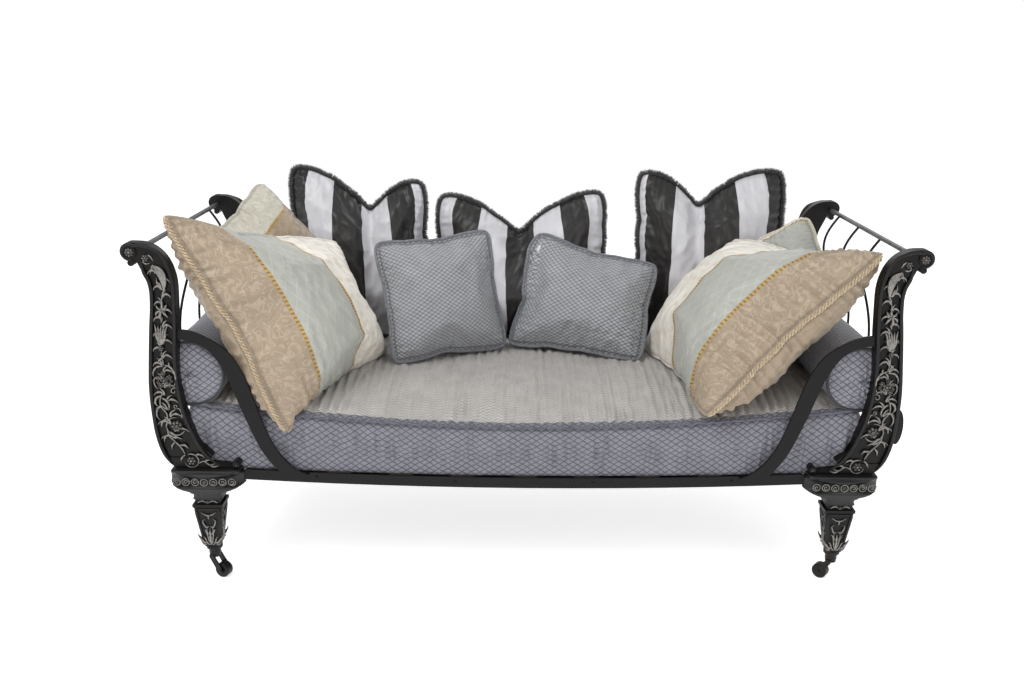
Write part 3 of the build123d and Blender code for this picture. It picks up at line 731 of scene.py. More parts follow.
# The cartouche on the neck: an oval with two swags.
neck_y = axis[1] - 0.026
for sign in (-1, 1):
    path = at_post(along([(axis[0] + 0.003 * sign, 0.221), (axis[0] + 0.012 * sign, 0.2285),
                          (axis[0] + 0.021 * sign, 0.226), (axis[0] + 0.027 * sign, 0.220)], 18),
                   neck_y)
    across, up = frames(path, np.broadcast_to(outward, path.shape))
    swell = np.sin(np.pi * np.linspace(0, 1, 18)) ** 0.6
    leaves.append(tube(path, across, up, 0.0026 * swell, 0.0036 * swell, 7))
leaves.append(flower((axis[0], 0.2245), 0.0062, 6, 0.0046, y=neck_y))
for side, end in corners:
    piece(f"leg_borders_{side}_{end}", to_corner(borders, side, end), rim_metal)
    piece(f"leg_leaves_{side}_{end}", to_corner(leaves, side, end), relief_metal)
print("legs with", len(leaves), "leaves and swags")

# %% [markdown]
# ## Cloths
#
# Four cloths dress the bed.  The mattress, bolsters and grey cushions are matelasse, a woven
# quilting of small lozenges; the striped cushions are satin; the cream cushions are damask
# strips joined by braid.  Every pattern is laid out in metres on the cloth's own UV, so it
# follows the folds and keeps its real size.

# %% Matelasse: lozenges puffed between crossing lines
def matelasse(name, crown, valley, across_mm, down_mm, puff, gloss=0.5):
    """Two families of slanting lines cross; between them the cloth rises as the lesser of two
    absolute sines, raised to a power, and the valleys are darker."""
    made, tree, shader = finish(name)
    flat = add(tree, "TexCoord", out=2)
    across = add(tree, "SeparateXYZ", {}, {0: flat}, out=0)
    down = add(tree, "SeparateXYZ", {}, {0: flat}, out=1)
    soft = add(tree, "TexNoise", {}, {"Vector": flat, "Scale": 22.0, "Detail": 3.0})
    slants = []
    for way in (1, -1):
        slope = add(tree, "Math", {"operation": "MULTIPLY"},
                    {0: down, 1: way * np.pi * 1000 / down_mm})
        sweep = add(tree, "Math", {"operation": "MULTIPLY_ADD"},
                    {0: across, 1: np.pi * 1000 / across_mm, 2: slope})
        drift = add(tree, "Math", {"operation": "MULTIPLY_ADD"}, {0: soft, 1: 1.6, 2: sweep})
        wave = add(tree, "Math", {"operation": "SINE"}, {0: drift})
        slants.append(add(tree, "Math", {"operation": "ABSOLUTE"}, {0: wave}))
    low = add(tree, "Math", {"operation": "MINIMUM"}, {0: slants[0], 1: slants[1]})
    rise = add(tree, "Math", {"operation": "POWER"}, {0: low, 1: 0.55})
    # The lozenges' colour follows the cloth's height. The darker lines are partly the woven
    # quilting lines and partly painted shade in the valleys. The lighter crowns are painted
    # highlight on the puffs.
    share = add(tree, "MapRange", {}, {"Value": rise, "From Min": 0.2, "From Max": 0.62})
    colour = add(tree, "Mix", {"data_type": "RGBA"},
                 {0: share, 6: linear(valley), 7: linear(crown)}, out=2)
    # The raised value darkens a band 9 mm in from the seam: painted shadow beside the piping. The
    # patchy tone under it is the cloth's own.
    seam = add(tree, "Attribute", {"attribute_name": "raised"}, out=2)
    patchy = add(tree, "MapRange", {}, {"Value": soft, "From Min": 0.3, "From Max": 0.7,
                                        "To Min": 0.88, "To Max": 1.06})
    fade = add(tree, "Math", {"operation": "MULTIPLY"}, {0: patchy, 1: add(
        tree, "MapRange", {}, {"Value": seam, "To Min": 1.0, "To Max": 0.45})})
    shade = add(tree, "Mix", {"data_type": "RGBA", "blend_type": "MULTIPLY"},
                {0: 1.0, 6: colour, 7: add(tree, "CombineXYZ", {}, {0: fade, 1: fade, 2: fade})},
                out=2)
    tree.links.new(shade, shader.inputs["Base Color"])
    thread = add(tree, "TexNoise", {}, {"Vector": flat, "Scale": 700.0})
    height = add(tree, "Math", {"operation": "MULTIPLY_ADD"}, {0: thread, 1: 0.25, 2: rise})
    bump = add(tree, "Bump", {}, {"Height": height, "Strength": puff, "Distance": 0.0025})
    tree.links.new(bump, shader.inputs["Normal"])
    shader.inputs["Roughness"].default_value = gloss
    shader.inputs["Sheen Weight"].default_value = 0.25
    shader.inputs["Sheen Roughness"].default_value = 0.4
    return made


grey_quilt = matelasse("grey_matelasse", "#a9abaf", "#3b3e44", 18, 13, 0.8)
# The mattress's top quilt is lighter and warmer than the quilt on its sides. This is partly a
# different cloth and partly painted light: the top is painted lit, and the front and sides are
# painted in shade.
bed_quilt = matelasse("mattress_side_matelasse", "#82828b", "#41414b", 24, 15, 0.8)
top_quilt = matelasse("mattress_top_matelasse", "#c9c5c1", "#85827f", 16, 11, 0.8, 0.42)
bolster_quilt = matelasse("bolster_matelasse", "#888891", "#40404a", 22, 17, 0.8)
print("matelasse ready")

# %% Striped satin, and the black wool of its fringe
def satin_stripes(name, black, white, stripe):
    """Every second stripe of the cloth is black; satin floats give a soft sideways gloss."""
    made, tree, shader = finish(name)
    flat = add(tree, "TexCoord", out=2)
    across = add(tree, "SeparateXYZ", {}, {0: flat}, out=0)
    place = add(tree, "Math", {"operation": "MULTIPLY"}, {0: across, 1: np.pi / stripe})
    wave = add(tree, "Math", {"operation": "SINE"}, {0: place})
    share = add(tree, "MapRange", {}, {"Value": wave, "From Min": -0.012, "From Max": 0.012})
    mottle = add(tree, "TexNoise", {}, {"Vector": flat, "Scale": 9.0, "Detail": 3.0})
    dirt = add(tree, "MapRange", {}, {"Value": mottle, "From Min": 0.3, "From Max": 0.7,
                                      "To Min": 0.93, "To Max": 1.03})
    colour = add(tree, "Mix", {"data_type": "RGBA"},
                 {0: share, 6: linear(white), 7: linear(black)}, out=2)
    shade = add(tree, "Mix", {"data_type": "RGBA", "blend_type": "MULTIPLY"},
                {0: 1.0, 6: colour, 7: add(tree, "CombineXYZ", {}, {0: dirt, 1: dirt, 2: dirt})},
                out=2)
    tree.links.new(shade, shader.inputs["Base Color"])
    stretch = add(tree, "Mapping", {}, {0: flat, 3: (60.0, 900.0, 1.0)})
    floats = add(tree, "TexNoise", {}, {"Vector": stretch, "Scale": 1.0, "Detail": 2.0})
    bump = add(tree, "Bump", {}, {"Height": floats, "Strength": 0.15, "Distance": 0.0008})
    tree.links.new(bump, shader.inputs["Normal"])
    shader.inputs["Roughness"].default_value = 0.42
    shader.inputs["Sheen Weight"].default_value = 0.35
    shader.inputs["Sheen Roughness"].default_value = 0.3
    return made


def yarn(name, dark, light, rough, scale=260.0):
    """Twisted thread: two tones in a fine noise, and a matt surface with sheen."""
    made, tree, shader = finish(name)
    tone = add(tree, "TexNoise", {}, {"Vector": add(tree, "TexCoord", out=3), "Scale": scale,
                                      "Detail": 2.0})
    share = add(tree, "MapRange", {}, {"Value": tone, "From Min": 0.35, "From Max": 0.65})
    colour = add(tree, "Mix", {"data_type": "RGBA"},
                 {0: share, 6: linear(dark), 7: linear(light)}, out=2)
    tree.links.new(colour, shader.inputs["Base Color"])
    bump = add(tree, "Bump", {}, {"Height": tone, "Strength": 0.4, "Distance": 0.001})
    tree.links.new(bump, shader.inputs["Normal"])
    shader.inputs["Roughness"].default_value = rough
    shader.inputs["Sheen Weight"].default_value = 0.3
    return made


stripe_width = 0.072
striped = satin_stripes("striped_satin", "#211f1e", "#cdccd0", stripe_width)
black_fringe = yarn("black_wool_fringe", "#050505", "#141213", 0.9)
champagne_cord = yarn("champagne_twisted_cord", "#9c866a", "#cdbb9e", 0.5)
pale_cord = yarn("pale_silk_cord", "#b9b49c", "#e4e0cf", 0.5)
grey_piping = yarn("grey_piping", "#54565c", "#85878d", 0.6)
mattress_piping = yarn("mattress_piping", "#3a3a46", "#6c6c78", 0.6)
dark_piping = yarn("black_piping", "#1a1a1e", "#34343a", 0.6)
print("satin and yarns ready")

# %% [markdown]
# The cream cushions are three strips of silk: champagne damask with scrolls, sage with a fine
# trellis, and cream lace damask, joined by a gold braid and a finer one.  U on these cushions
# runs from the corded edge, so the strips are told apart by U alone, and the plain back starts
# two metres further on.

# %% Damask strips
def damask(name, first, second, third, braids, gold):
    """Strips by distance from the corded edge, each with its own woven figure, and braids of
    gold dots over the joins."""
    made, tree, shader = finish(name)
    flat = add(tree, "TexCoord", out=2)
    u = add(tree, "SeparateXYZ", {}, {0: flat}, out=0)
    v = add(tree, "SeparateXYZ", {}, {0: flat}, out=1)

    swirl = add(tree, "TexNoise", {}, {"Vector": flat, "Scale": 26.0, "Detail": 1.5,
                                       "Distortion": 1.4})
    rings = add(tree, "Math", {"operation": "SINE"},
                {0: add(tree, "Math", {"operation": "MULTIPLY"}, {0: swirl, 1: 34.0})})
    scrolls = add(tree, "MapRange", {}, {"Value": rings, "From Min": 0.35, "From Max": 0.75})
    lace = add(tree, "MapRange", {}, {
        "Value": add(tree, "TexVoronoi", {"feature": "SMOOTH_F1"},
                     {"Vector": flat, "Scale": 42.0, "Smoothness": 0.4}),
        "From Min": 0.25, "From Max": 0.5})
    lines = []
    for way in (1, -1):
        slope = add(tree, "Math", {"operation": "MULTIPLY"}, {0: v, 1: way * np.pi / 0.052})
        sweep = add(tree, "Math", {"operation": "MULTIPLY_ADD"}, {0: u, 1: np.pi / 0.03, 2: slope})
        wave = add(tree, "Math", {"operation": "SINE"}, {0: sweep})
        lines.append(add(tree, "Math", {"operation": "ABSOLUTE"}, {0: wave}))
    near = add(tree, "Math", {"operation": "MINIMUM"}, {0: lines[0], 1: lines[1]})
    trellis = add(tree, "MapRange", {}, {"Value": near, "From Min": 0.04, "From Max": 0.14,
                                         "To Min": 1.0, "To Max": 0.0})

    tones = add(tree, "Mix", {"data_type": "RGBA"},
                {0: scrolls, 6: linear(first[0]), 7: linear(first[1])}, out=2)
    figure = scrolls
    for edge, share, (base, raised) in (
            (braids[0], trellis, second), (braids[1], lace, third),
            (1.0, scrolls, (first[0], first[0]))):
        past = add(tree, "Math", {"operation": "GREATER_THAN"}, {0: u, 1: edge})
        strip = add(tree, "Mix", {"data_type": "RGBA"},
                    {0: share, 6: linear(base), 7: linear(raised)}, out=2)
        tones = add(tree, "Mix", {"data_type": "RGBA"}, {0: past, 6: tones, 7: strip}, out=2)
        figure = add(tree, "Mix", {}, {0: past, 2: figure, 3: share})
    braid_height = None
    for edge, half, pitch in ((braids[0], 0.0048, 0.011), (braids[1], 0.0044, 0.009)):
        off = add(tree, "Math", {"operation": "ABSOLUTE"},
                  {0: add(tree, "Math", {"operation": "SUBTRACT"}, {0: u, 1: edge})})
        band = add(tree, "MapRange", {}, {"Value": off, "From Min": half * 0.8, "From Max": half,
                                          "To Min": 1.0, "To Max": 0.0})
        beat = add(tree, "Math", {"operation": "ABSOLUTE"}, {0: add(
            tree, "Math", {"operation": "SINE"},
            {0: add(tree, "Math", {"operation": "MULTIPLY"}, {0: v, 1: np.pi / pitch})})})
        dot = add(tree, "MapRange", {}, {"Value": beat, "From Min": 0.15, "From Max": 0.7})
        golden = add(tree, "Mix", {"data_type": "RGBA"},
                     {0: dot, 6: linear(gold[0]), 7: linear(gold[1])}, out=2)
        tones = add(tree, "Mix", {"data_type": "RGBA"}, {0: band, 6: tones, 7: golden}, out=2)
        bead = add(tree, "Math", {"operation": "MULTIPLY"}, {0: band, 1: dot})
        braid_height = bead if braid_height is None else add(
            tree, "Math", {"operation": "MAXIMUM"}, {0: braid_height, 1: bead})
    soft = add(tree, "TexNoise", {}, {"Vector": flat, "Scale": 7.0, "Detail": 4.0})
    # The raised value darkens a band 9 mm in from the seam: painted shadow beside the cord. The
    # patchy tone under it is the cloth's own.
    seam = add(tree, "Attribute", {"attribute_name": "raised"}, out=2)
    patchy = add(tree, "MapRange", {}, {"Value": soft, "From Min": 0.3, "From Max": 0.7,
                                        "To Min": 0.86, "To Max": 1.06})
    fade = add(tree, "Math", {"operation": "MULTIPLY"}, {0: patchy, 1: add(
        tree, "MapRange", {}, {"Value": seam, "To Min": 1.0, "To Max": 0.62})})
    shade = add(tree, "Mix", {"data_type": "RGBA", "blend_type": "MULTIPLY"},
                {0: 1.0, 6: tones, 7: add(tree, "CombineXYZ", {}, {0: fade, 1: fade, 2: fade})},
                out=2)
    tree.links.new(shade, shader.inputs["Base Color"])
    slub = add(tree, "TexNoise", {}, {"Vector": add(tree, "Mapping", {},
                                                    {0: flat, 3: (90.0, 700.0, 1.0)}),
                                      "Scale": 1.0})
    woven = add(tree, "Math", {"operation": "MULTIPLY_ADD"}, {0: figure, 1: 0.22, 2: slub})
    height = add(tree, "Math", {"operation": "MULTIPLY_ADD"}, {0: braid_height, 1: 3.0, 2: woven})
    bump = add(tree, "Bump", {}, {"Height": height, "Strength": 0.45, "Distance": 0.001})
    tree.links.new(bump, shader.inputs["Normal"])
    rough = add(tree, "MapRange", {}, {"Value": figure, "To Min": 0.5, "To Max": 0.38})
    tree.links.new(rough, shader.inputs["Roughness"])
    shader.inputs["Sheen Weight"].default_value = 0.35
    shader.inputs["Sheen Roughness"].default_value = 0.35
    return made


champagne = ("#a2917b", "#b2a18b")
sage = ("#aeb0a8", "#bdbeb5")
cream = ("#dcd4c6", "#eae5da")
gold = ("#7d6030", "#b8985a")
damask_front = damask("silk_damask_strips", champagne, sage, cream, (0.137, 0.325), gold)
damask_left = damask("silk_damask_left_back", ("#bdb9ab", "#c9c5b7"), champagne,
                     ("#bca68e", "#cab79e"), (0.125, 0.330), gold)
damask_right = damask("silk_damask_right_back", cream, sage, champagne, (0.035, 0.240), gold)
print("damask ready")

# %% [markdown]
# ## Stuffing a cushion
#
# A cushion starts as two flat panels that share their border, like the sewn case before it is
# filled.  Cloth blows it up with a little pressure: the middle rises, the sides pull in between
# the corners, and the cloth that is left over gathers into puckers along the seams.  The result
# is kept as points, so no Cloth modifier stays.

# %% Two panels sewn and blown up
def panels(wide, high, cells):
    """Points and quads of two flat panels with one border: front first, then the inner points
    of the back; also each point's place (u, v) in -1 to 1, and its side."""
    n = cells
    u, v = np.meshgrid(np.linspace(-1, 1, n + 1), np.linspace(-1, 1, n + 1), indexing="ij")
    front = np.arange((n + 1) ** 2).reshape(n + 1, n + 1)
    back = front.copy()
    back[1:-1, 1:-1] = (n + 1) ** 2 + np.arange((n - 1) ** 2).reshape(n - 1, n - 1)
    quads = [np.stack([g[:-1, :-1], g[1:, :-1], g[1:, 1:], g[:-1, 1:]], -1).reshape(-1, 4)
             for g in (front, back[:, ::-1])]
    place = np.concatenate([np.stack([u, v], -1).reshape(-1, 2),
                            np.stack([u, v], -1)[1:-1, 1:-1].reshape(-1, 2)])
    side = np.concatenate([np.ones((n + 1) ** 2), -np.ones((n - 1) ** 2)])
    bulge = 0.012 * (1 - place[:, 0] ** 2) * (1 - place[:, 1] ** 2)
    points = np.stack([place[:, 0] * wide / 2, place[:, 1] * high / 2, side * bulge], -1)
    return points, np.concatenate(quads), place, side, front, back


def stuffed(wide, high, cells, seed, pressure=4.0, bend=0.35):
    """The two panels after 20 frames of Cloth under pressure, with gravity off."""
    points, quads, place, side, front, back = panels(wide, high, cells)
    dice = np.random.default_rng(seed)
    wander = sum(a * np.sin(np.outer(place @ dice.normal(0, 5, 2), [1.0])[:, 0]
                            + dice.uniform(0, 6))
                 for a in (0.002, 0.0016, 0.0012, 0.001))
    points[:, 2] += wander * (1 - place[:, 0] ** 2) * (1 - place[:, 1] ** 2)
    mesh = bpy.data.meshes.new("panel_work")
    mesh.from_pydata(points.tolist(), [], quads.tolist())
    work = bpy.data.objects.new("panel_work", mesh)
    scene.collection.objects.link(work)
    cloth = work.modifiers.new("Cloth", "CLOTH")
    cloth.settings.quality = 6
    cloth.settings.mass = 0.25
    cloth.settings.tension_stiffness = 20
    cloth.settings.compression_stiffness = 12
    cloth.settings.shear_stiffness = 6
    cloth.settings.bending_stiffness = bend
    cloth.settings.use_pressure = True
    cloth.settings.uniform_pressure_force = pressure
    cloth.settings.effector_weights.gravity = 0
    cloth.point_cache.frame_start, cloth.point_cache.frame_end = 1, 24
    for step in range(1, 21):
        scene.frame_set(step)
    swelled = work.evaluated_get(bpy.context.evaluated_depsgraph_get())
    settled = np.empty(len(points) * 3, np.float32)
    swelled.data.vertices.foreach_get("co", settled)
    bpy.data.objects.remove(work)
    bpy.data.meshes.remove(mesh)
    return settled.reshape(-1, 3).astype(float), quads, place, side, front, back


trial = stuffed(0.5, 0.5, 12, 1)
print("a trial cushion swells to", np.ptp(trial[0], axis=0).round(3))

# %% [markdown]
# ## Placing the cushions
#
# Each cushion leans on what is behind it, so its four corners are given in space, in metres.
# They were found with a separate perspective solve and most were then changed.  They
# aren't worked out from the frame, so they don't follow a part of another size.  A swelled
# case is laid over the patch between its four corners: a point's place in the case picks a
# spot on the patch, and its height goes along the patch's normal.  A chop is the dent that a
# hand leaves in the top of a feather cushion.

# %% Laying a case over its corners
def patch(place, hung_at):
    """Bilinear blend of the corners top left, top right, bottom right, bottom left, with
    the outward normal there and the unit directions along u and v."""
    u, v = place[:, :1], place[:, 1:]
    tl, tr, br, bl = np.asarray(hung_at)
    spot = ((1 - u) * (1 + v) * tl + (1 + u) * (1 + v) * tr + (1 + u) * (1 - v) * br
            + (1 - u) * (1 - v) * bl) / 4
    along_u = (1 + v) * (tr - tl) + (1 - v) * (br - bl)
    along_v = (1 - u) * (tl - bl) + (1 + u) * (tr - br)
    return spot, unit(np.cross(along_u, along_v)), unit(along_u), unit(along_v)


def laid(case, hung_at, thick, bulge, chop=None, belly=0.0):
    """The case's points in space.  The cloth's own pull-in is kept as a third of what the
    simulation gives, then the sides bulge and the corners round off by their products; belly
    is how far the back swells out past the seam, to the left if negative."""
    points, place, side = case
    at_corner = np.abs(place).min(axis=1) > 0.999
    corner = np.abs(points[at_corner, :2]).mean(axis=0)
    own = 0.72 * place + 0.28 * points[:, :2] / corner
    u, v = place[:, :1], place[:, 1:]
    stretch = np.concatenate([bulge[0] * (1 - v**2), bulge[1] * (1 - u**2)], axis=1)
    own = own * (1 + stretch - bulge[2] * (np.abs(u) * np.abs(v)) ** 5)
    spot, normal, along_u, along_v = patch(own, hung_at)
    swell = points[:, 2:] * thick / np.ptp(points[:, 2])
    laid_out = spot + normal * swell
    if belly:
        in_from = np.clip((1 - np.sign(belly) * u) / 0.7, 0, 1)
        push = np.sin(np.pi * in_from) ** 0.8 * (1 - v**4) * (side[:, None] < 0)
        laid_out = laid_out + along_u * belly * push
    if chop:
        middle, depth, width = chop
        high = np.clip((own[:, 1:] + 0.25) / 1.25, 0, 1) ** 1.6
        near = np.exp(-(np.abs(own[:, :1] - middle) / width) ** 1.3)
        laid_out = laid_out - along_v * depth * near * high
        dent = np.exp(-((own[:, :1] - middle) / (0.42 * width)) ** 2)
        laid_out = laid_out - normal * side[:, None] * np.minimum(
            0.62 * np.abs(swell), 0.055) * dent * np.clip((own[:, 1:] + 0.7) / 1.5, 0, 1)
    return laid_out


def mattress_top(x, y):
    """Height of the mattress's crowned top: it dips with the rails and falls off at its edge."""
    dip = 0.426 + 0.060 * (np.abs(x) / 0.854) ** 1.8
    edge = np.clip((0.352 + y) / 0.24, 0, 1) * np.clip(0.55 + (0.352 - y) / 0.18, 0, 1)
    return dip + (0.042 - 0.026 * (x / 0.854) ** 2) * np.sin(edge * np.pi / 2)


def kept_off(points, others, gap=0.005, reach=0.12):
    """Points that lie inside an earlier piece move out through its nearest face; the push is
    what flattens a cushion where it rests."""
    for tree_of in others:
        hits = [tree_of.find_nearest(Vector(p), reach) for p in points]
        push = np.array([(Vector(p) - h[0]).dot(h[1]) if h[0] is not None else 1.0
                         for p, h in zip(points, hits)])
        way = np.array([h[1] if h[0] is not None else (0, 0, 0) for h in hits])
        points = points + way * np.maximum(0, gap - push)[:, None]
    return points


def eased(points, moved, quads, rounds=3):
    """The push spread to each point's neighbours by averaging, so that it leaves no crease."""
    push = moved - points
    edges = np.concatenate([quads[:, [k, (k + 1) % 4]] for k in range(4)])
    for _ in range(rounds):
        total, count = np.zeros_like(push), np.zeros(len(push))
        np.add.at(total, edges[:, 0], push[edges[:, 1]])
        np.add.at(count, edges[:, 0], 1)
        mean = total / np.maximum(count, 1)[:, None]
        push = np.where(np.linalg.norm(mean, axis=1, keepdims=True)
                        > np.linalg.norm(push, axis=1, keepdims=True), mean, push)
    return points + push


print("the mattress crowns at", round(float(mattress_top(np.array(0.0), np.array(0.0))), 3))

# %% [markdown]
# ## Mattress and bolsters
#
# The mattress is a long box of wadding that has settled: its front bulges, its top crowns and
# the cloth is gathered into the piping, which leaves short wrinkles along every edge.  Its
# section is carried from end to end, and sums of sines with seeded phases give the wrinkles.

# %% Seeded ripples
def ripples(x, y, seed, wave_x, wave_y, count=9):
    """Sum of sines of nearby wavelengths and random phases, so that no two wrinkles match."""
    dice = np.random.default_rng(seed)
    total = np.zeros(np.broadcast(x, y).shape)
    for _ in range(count):
        kx = 2 * np.pi / wave_x * dice.uniform(0.6, 1.6) * dice.choice([-1, 1])
        ky = 2 * np.pi / wave_y * dice.uniform(0.3, 1.4) * dice.choice([-1, 1])
        total = total + np.sin(kx * x + ky * y + dice.uniform(0, 2 * np.pi))
    return total / np.sqrt(count)


def box_pillow_section(t):
    """Round the mattress, t in 0 to 1: up the front, back over the top, down the back and
    forward under it; gives y as a share of the half depth and z as a share of the height."""
    corner = [(0.0, -1.0, 0.06), (0.03, -1.01, 0.22), (0.10, -1.035, 0.55), (0.165, -1.01, 0.88),
              (0.185, -0.985, 0.965), (0.205, -0.94, 1.0), (0.35, -0.5, 1.0), (0.5, 0.0, 1.0),
              (0.65, 0.5, 1.0), (0.745, 0.94, 1.0), (0.765, 0.985, 0.965), (0.785, 1.0, 0.88),
              (0.83, 1.01, 0.55), (0.87, 1.0, 0.22), (0.885, 0.99, 0.06), (0.90, 0.95, 0.0),
              (0.94, 0.0, 0.0), (0.985, -0.95, 0.0), (1.0, -1.0, 0.06)]
    table = np.array(corner)
    return np.interp(t, table[:, 0], table[:, 1]), np.interp(t, table[:, 0], table[:, 2])


low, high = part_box("mattress")
half_x, half_y = high.x, high.y
t = np.linspace(0, 1, 166)[None, :-1]
s = np.linspace(-1, 1, 560)[:, None]
share_y, share_z = box_pillow_section(t)
close = np.clip(1 - (np.abs(s) - 0.985) / 0.015, 0, 1) ** 0.5
x = half_x * s + 0.020 * np.sign(s) * np.abs(s) ** 24 * np.sin(
    np.pi * np.clip(0.06 + 0.9 * share_z, 0, 1)) ** 0.5
under = low.z + 0.013 * np.clip(np.abs(s) * half_x / 0.734, 0, 1.16) ** 2
y = half_y * share_y * (0.93 + 0.07 * close)
top_z = mattress_top(x, y)
z_line = under + (top_z - under) * share_z * (0.88 + 0.12 * close)
lip = np.clip((np.abs(share_y) - 0.93) / 0.04, 0, 1) * np.clip(1 - share_z / 0.3, 0, 1)
z_line = z_line - 0.009 * lip
y = y + 0.013 * np.sign(share_y) * lip
on_top = np.clip((share_z - 0.97) / 0.03, 0, 1) * (np.abs(share_y) < 1)
on_front = np.clip(1 - np.abs(share_z - 0.5) / 0.5, 0, 1) * (share_y < 0)
cross = ripples(x, 0.25 * y, 4, 0.034, 0.5) + 0.6 * ripples(x, y, 5, 0.07, 0.16)
fine = ripples(x, y, 8, 0.018, 0.09)
edge_near = np.exp(-(half_y - np.abs(y)) / 0.06)
z_line = z_line + on_top * (0.0040 * cross + 0.0020 * fine) * (0.6 + 0.4 * edge_near) \
    + on_top * 0.004 * ripples(x, y, 6, 0.45, 0.5, 5)
gather = ripples(x, z_line, 7, 0.022, 0.30)
broad = ripples(x, z_line, 9, 0.075, 0.25)
y = y - on_front * (0.0032 * gather + 0.0038 * broad)
pinch = np.exp(-((share_z - 0.93) / 0.05) ** 2) * (share_y < 0)
y = y + pinch * 0.004
body_grid = np.stack([x, y, z_line], -1)
run = np.concatenate([[0], np.cumsum(np.hypot(np.diff(body_grid[320, :, 1]),
                                              np.diff(body_grid[320, :, 2])))])
uv = np.stack(np.broadcast_arrays(x, run[None, :]), -1)
caps = [np.repeat(body_grid[k:k + 1].mean(axis=1, keepdims=True), body_grid.shape[1], axis=1)
        for k in (0, -1)]
whole = np.concatenate([caps[0], body_grid, caps[1]])
whole_uv = np.concatenate([uv[:1], uv, uv[-1:]])
mattress = piece("mattress_quilted", [skin(whole, wrap_v=True, uv=whole_uv)], bed_quilt,
                 replaces=["mattress"])
mattress.data.materials.append(top_quilt)
centres = np.empty(len(mattress.data.polygons) * 3, np.float32)
mattress.data.polygons.foreach_get("center", centres)
centres = centres.reshape(-1, 3)
# Faces on the top take the lighter quilt. This is partly a different cloth and partly painted light
# on the top, against painted shade on the sides.
above = centres[:, 2] > mattress_top(centres[:, 0], centres[:, 1]) - 0.03
mattress.data.polygons.foreach_set(
    "material_index", (above & (np.abs(centres[:, 1]) < 0.962 * half_y)).astype(np.int32))

line_x = np.linspace(-half_x * 0.99, half_x * 0.99, 420)
for name, share, out in (("top", 0.955, 0.004), ("bottom", 0.075, 0.003)):
    level_line = mattress_top(line_x, -half_y * np.ones_like(line_x))
    foot_line = low.z + 0.013 * np.clip(np.abs(line_x) / 0.734, 0, 1.16) ** 2
    seam_z = foot_line + (level_line - foot_line) * share \
        + 0.0012 * ripples(line_x, 0 * line_x, 11, 0.05, 1)
    for side in (-1, 1):
        seam_y = side * (half_y + out - 0.001 + 0.0014 * ripples(line_x, 0 * line_x, 12, 0.04, 1))
        path = np.stack([line_x, seam_y, seam_z], -1)
        across, up = frames(path, np.broadcast_to([0.0, side, 0.0], path.shape))
        taper = np.minimum(1, 60 * np.minimum(np.linspace(0, 1, 420), 1 - np.linspace(0, 1, 420)))
        piece(f"mattress_piping_{name}_{'front' if side < 0 else 'back'}",
              [tube(path, across, up, 0.0038 * taper, 0.0038 * taper, 8)], mattress_piping)
print("mattress faces", len(mattress.data.polygons), "top", round(float(z_line.max()), 3))

# %% Bolsters: rolls with flat piped ends
for end, sign in (("left", -1), ("right", 1)):
    low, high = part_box(f"bolster_{end}")
    middle_x, middle_z = (low.x + high.x) / 2, (low.z + high.z) / 2
    radius, half_y = (high.z - low.z) / 2, (high.y - low.y) / 2
    a = np.linspace(0, 2 * np.pi, 96, endpoint=False)[None]
    s = np.linspace(0, 1, 150)[:, None]
    # Length along the profile: in from the middle of the end disc, along the roll, and back.
    disc, roll_long = radius, 2 * half_y
    far = s * (2 * disc + roll_long)
    r = np.where(far < disc, far, np.where(far < disc + roll_long, radius,
                                          2 * disc + roll_long - far))
    yy = np.where(far < disc, -half_y, np.where(far < disc + roll_long, -half_y + far - disc,
                                                half_y))
    round_off = np.clip((r / radius - 0.86) / 0.14, 0, 1) ** 2 * 0.008
    yy = yy + np.where(far < disc, round_off, np.where(far > disc + roll_long, -round_off, 0))
    body_share = ((far >= disc) & (far <= disc + roll_long)).astype(float)
    near_end = np.exp(-np.minimum(np.abs(far - disc), np.abs(far - disc - roll_long)) / 0.03)
    r = r * (1 + body_share * (0.010 * ripples(a * 0.3, yy, 20 + sign, 0.5, 0.3, 5)
                               + 0.008 * near_end * ripples(a * radius, yy, 22, 0.03, 0.3)))
    puff = 0.012 * np.cos(np.clip(r / radius, 0, 1) * np.pi / 2) * (1 - body_share)
    yy = yy + np.where(far < disc, -puff, np.where(far > disc + roll_long, puff, 0))
    yy = yy + (1 - body_share) * 0.0015 * ripples(a * 0.1, r, 23, 0.06, 0.05)
    squash = 1 - 0.05 * np.clip(-np.sin(a), 0, 1) ** 3
    grid = np.stack([middle_x + r * np.cos(a), yy + 0 * a, middle_z + r * np.sin(a) * squash], -1)
    on_disc = (1 - body_share) + 0 * a
    uv = np.where(on_disc[..., None] > 0.5,
                  np.stack([r * np.cos(a), r * np.sin(a)], -1),
                  np.stack(np.broadcast_arrays(a * radius, yy), -1))
    roll_piece = piece(f"bolster_roll_{end}", [skin(grid, wrap_v=True, uv=uv)], bolster_quilt,
                       replaces=[f"bolster_{end}"])
    for face in (-1, 1):
        ring_a = np.linspace(0, 2 * np.pi, 120, endpoint=False)
        path = np.stack([middle_x + (radius - 0.001) * np.cos(ring_a),
                         face * (half_y - 0.001) * np.ones(120),
                         middle_z + (radius - 0.001) * np.sin(ring_a)
                         * (1 - 0.05 * np.clip(-np.sin(ring_a), 0, 1) ** 3)], -1)
        across, up = frames(path, np.broadcast_to([0.0, face, 0.0], path.shape), closed=True)
        piece(f"bolster_piping_{end}_{'back' if face > 0 else 'front'}",
              [tube(path, across, up, 0.0046, 0.0046, 8, closed=True)], dark_piping)
print("bolsters lie at", round(middle_z, 3))

# %% [markdown]
# ## The nine cushions
#
# They are laid from the back forward: three striped ones against the wall side, the two cream
# ones behind, the two grey ones, and the two big cream ones at the front.  Each keeps off the
# ones already there, the bolsters and the mattress, and is flattened where it touches.

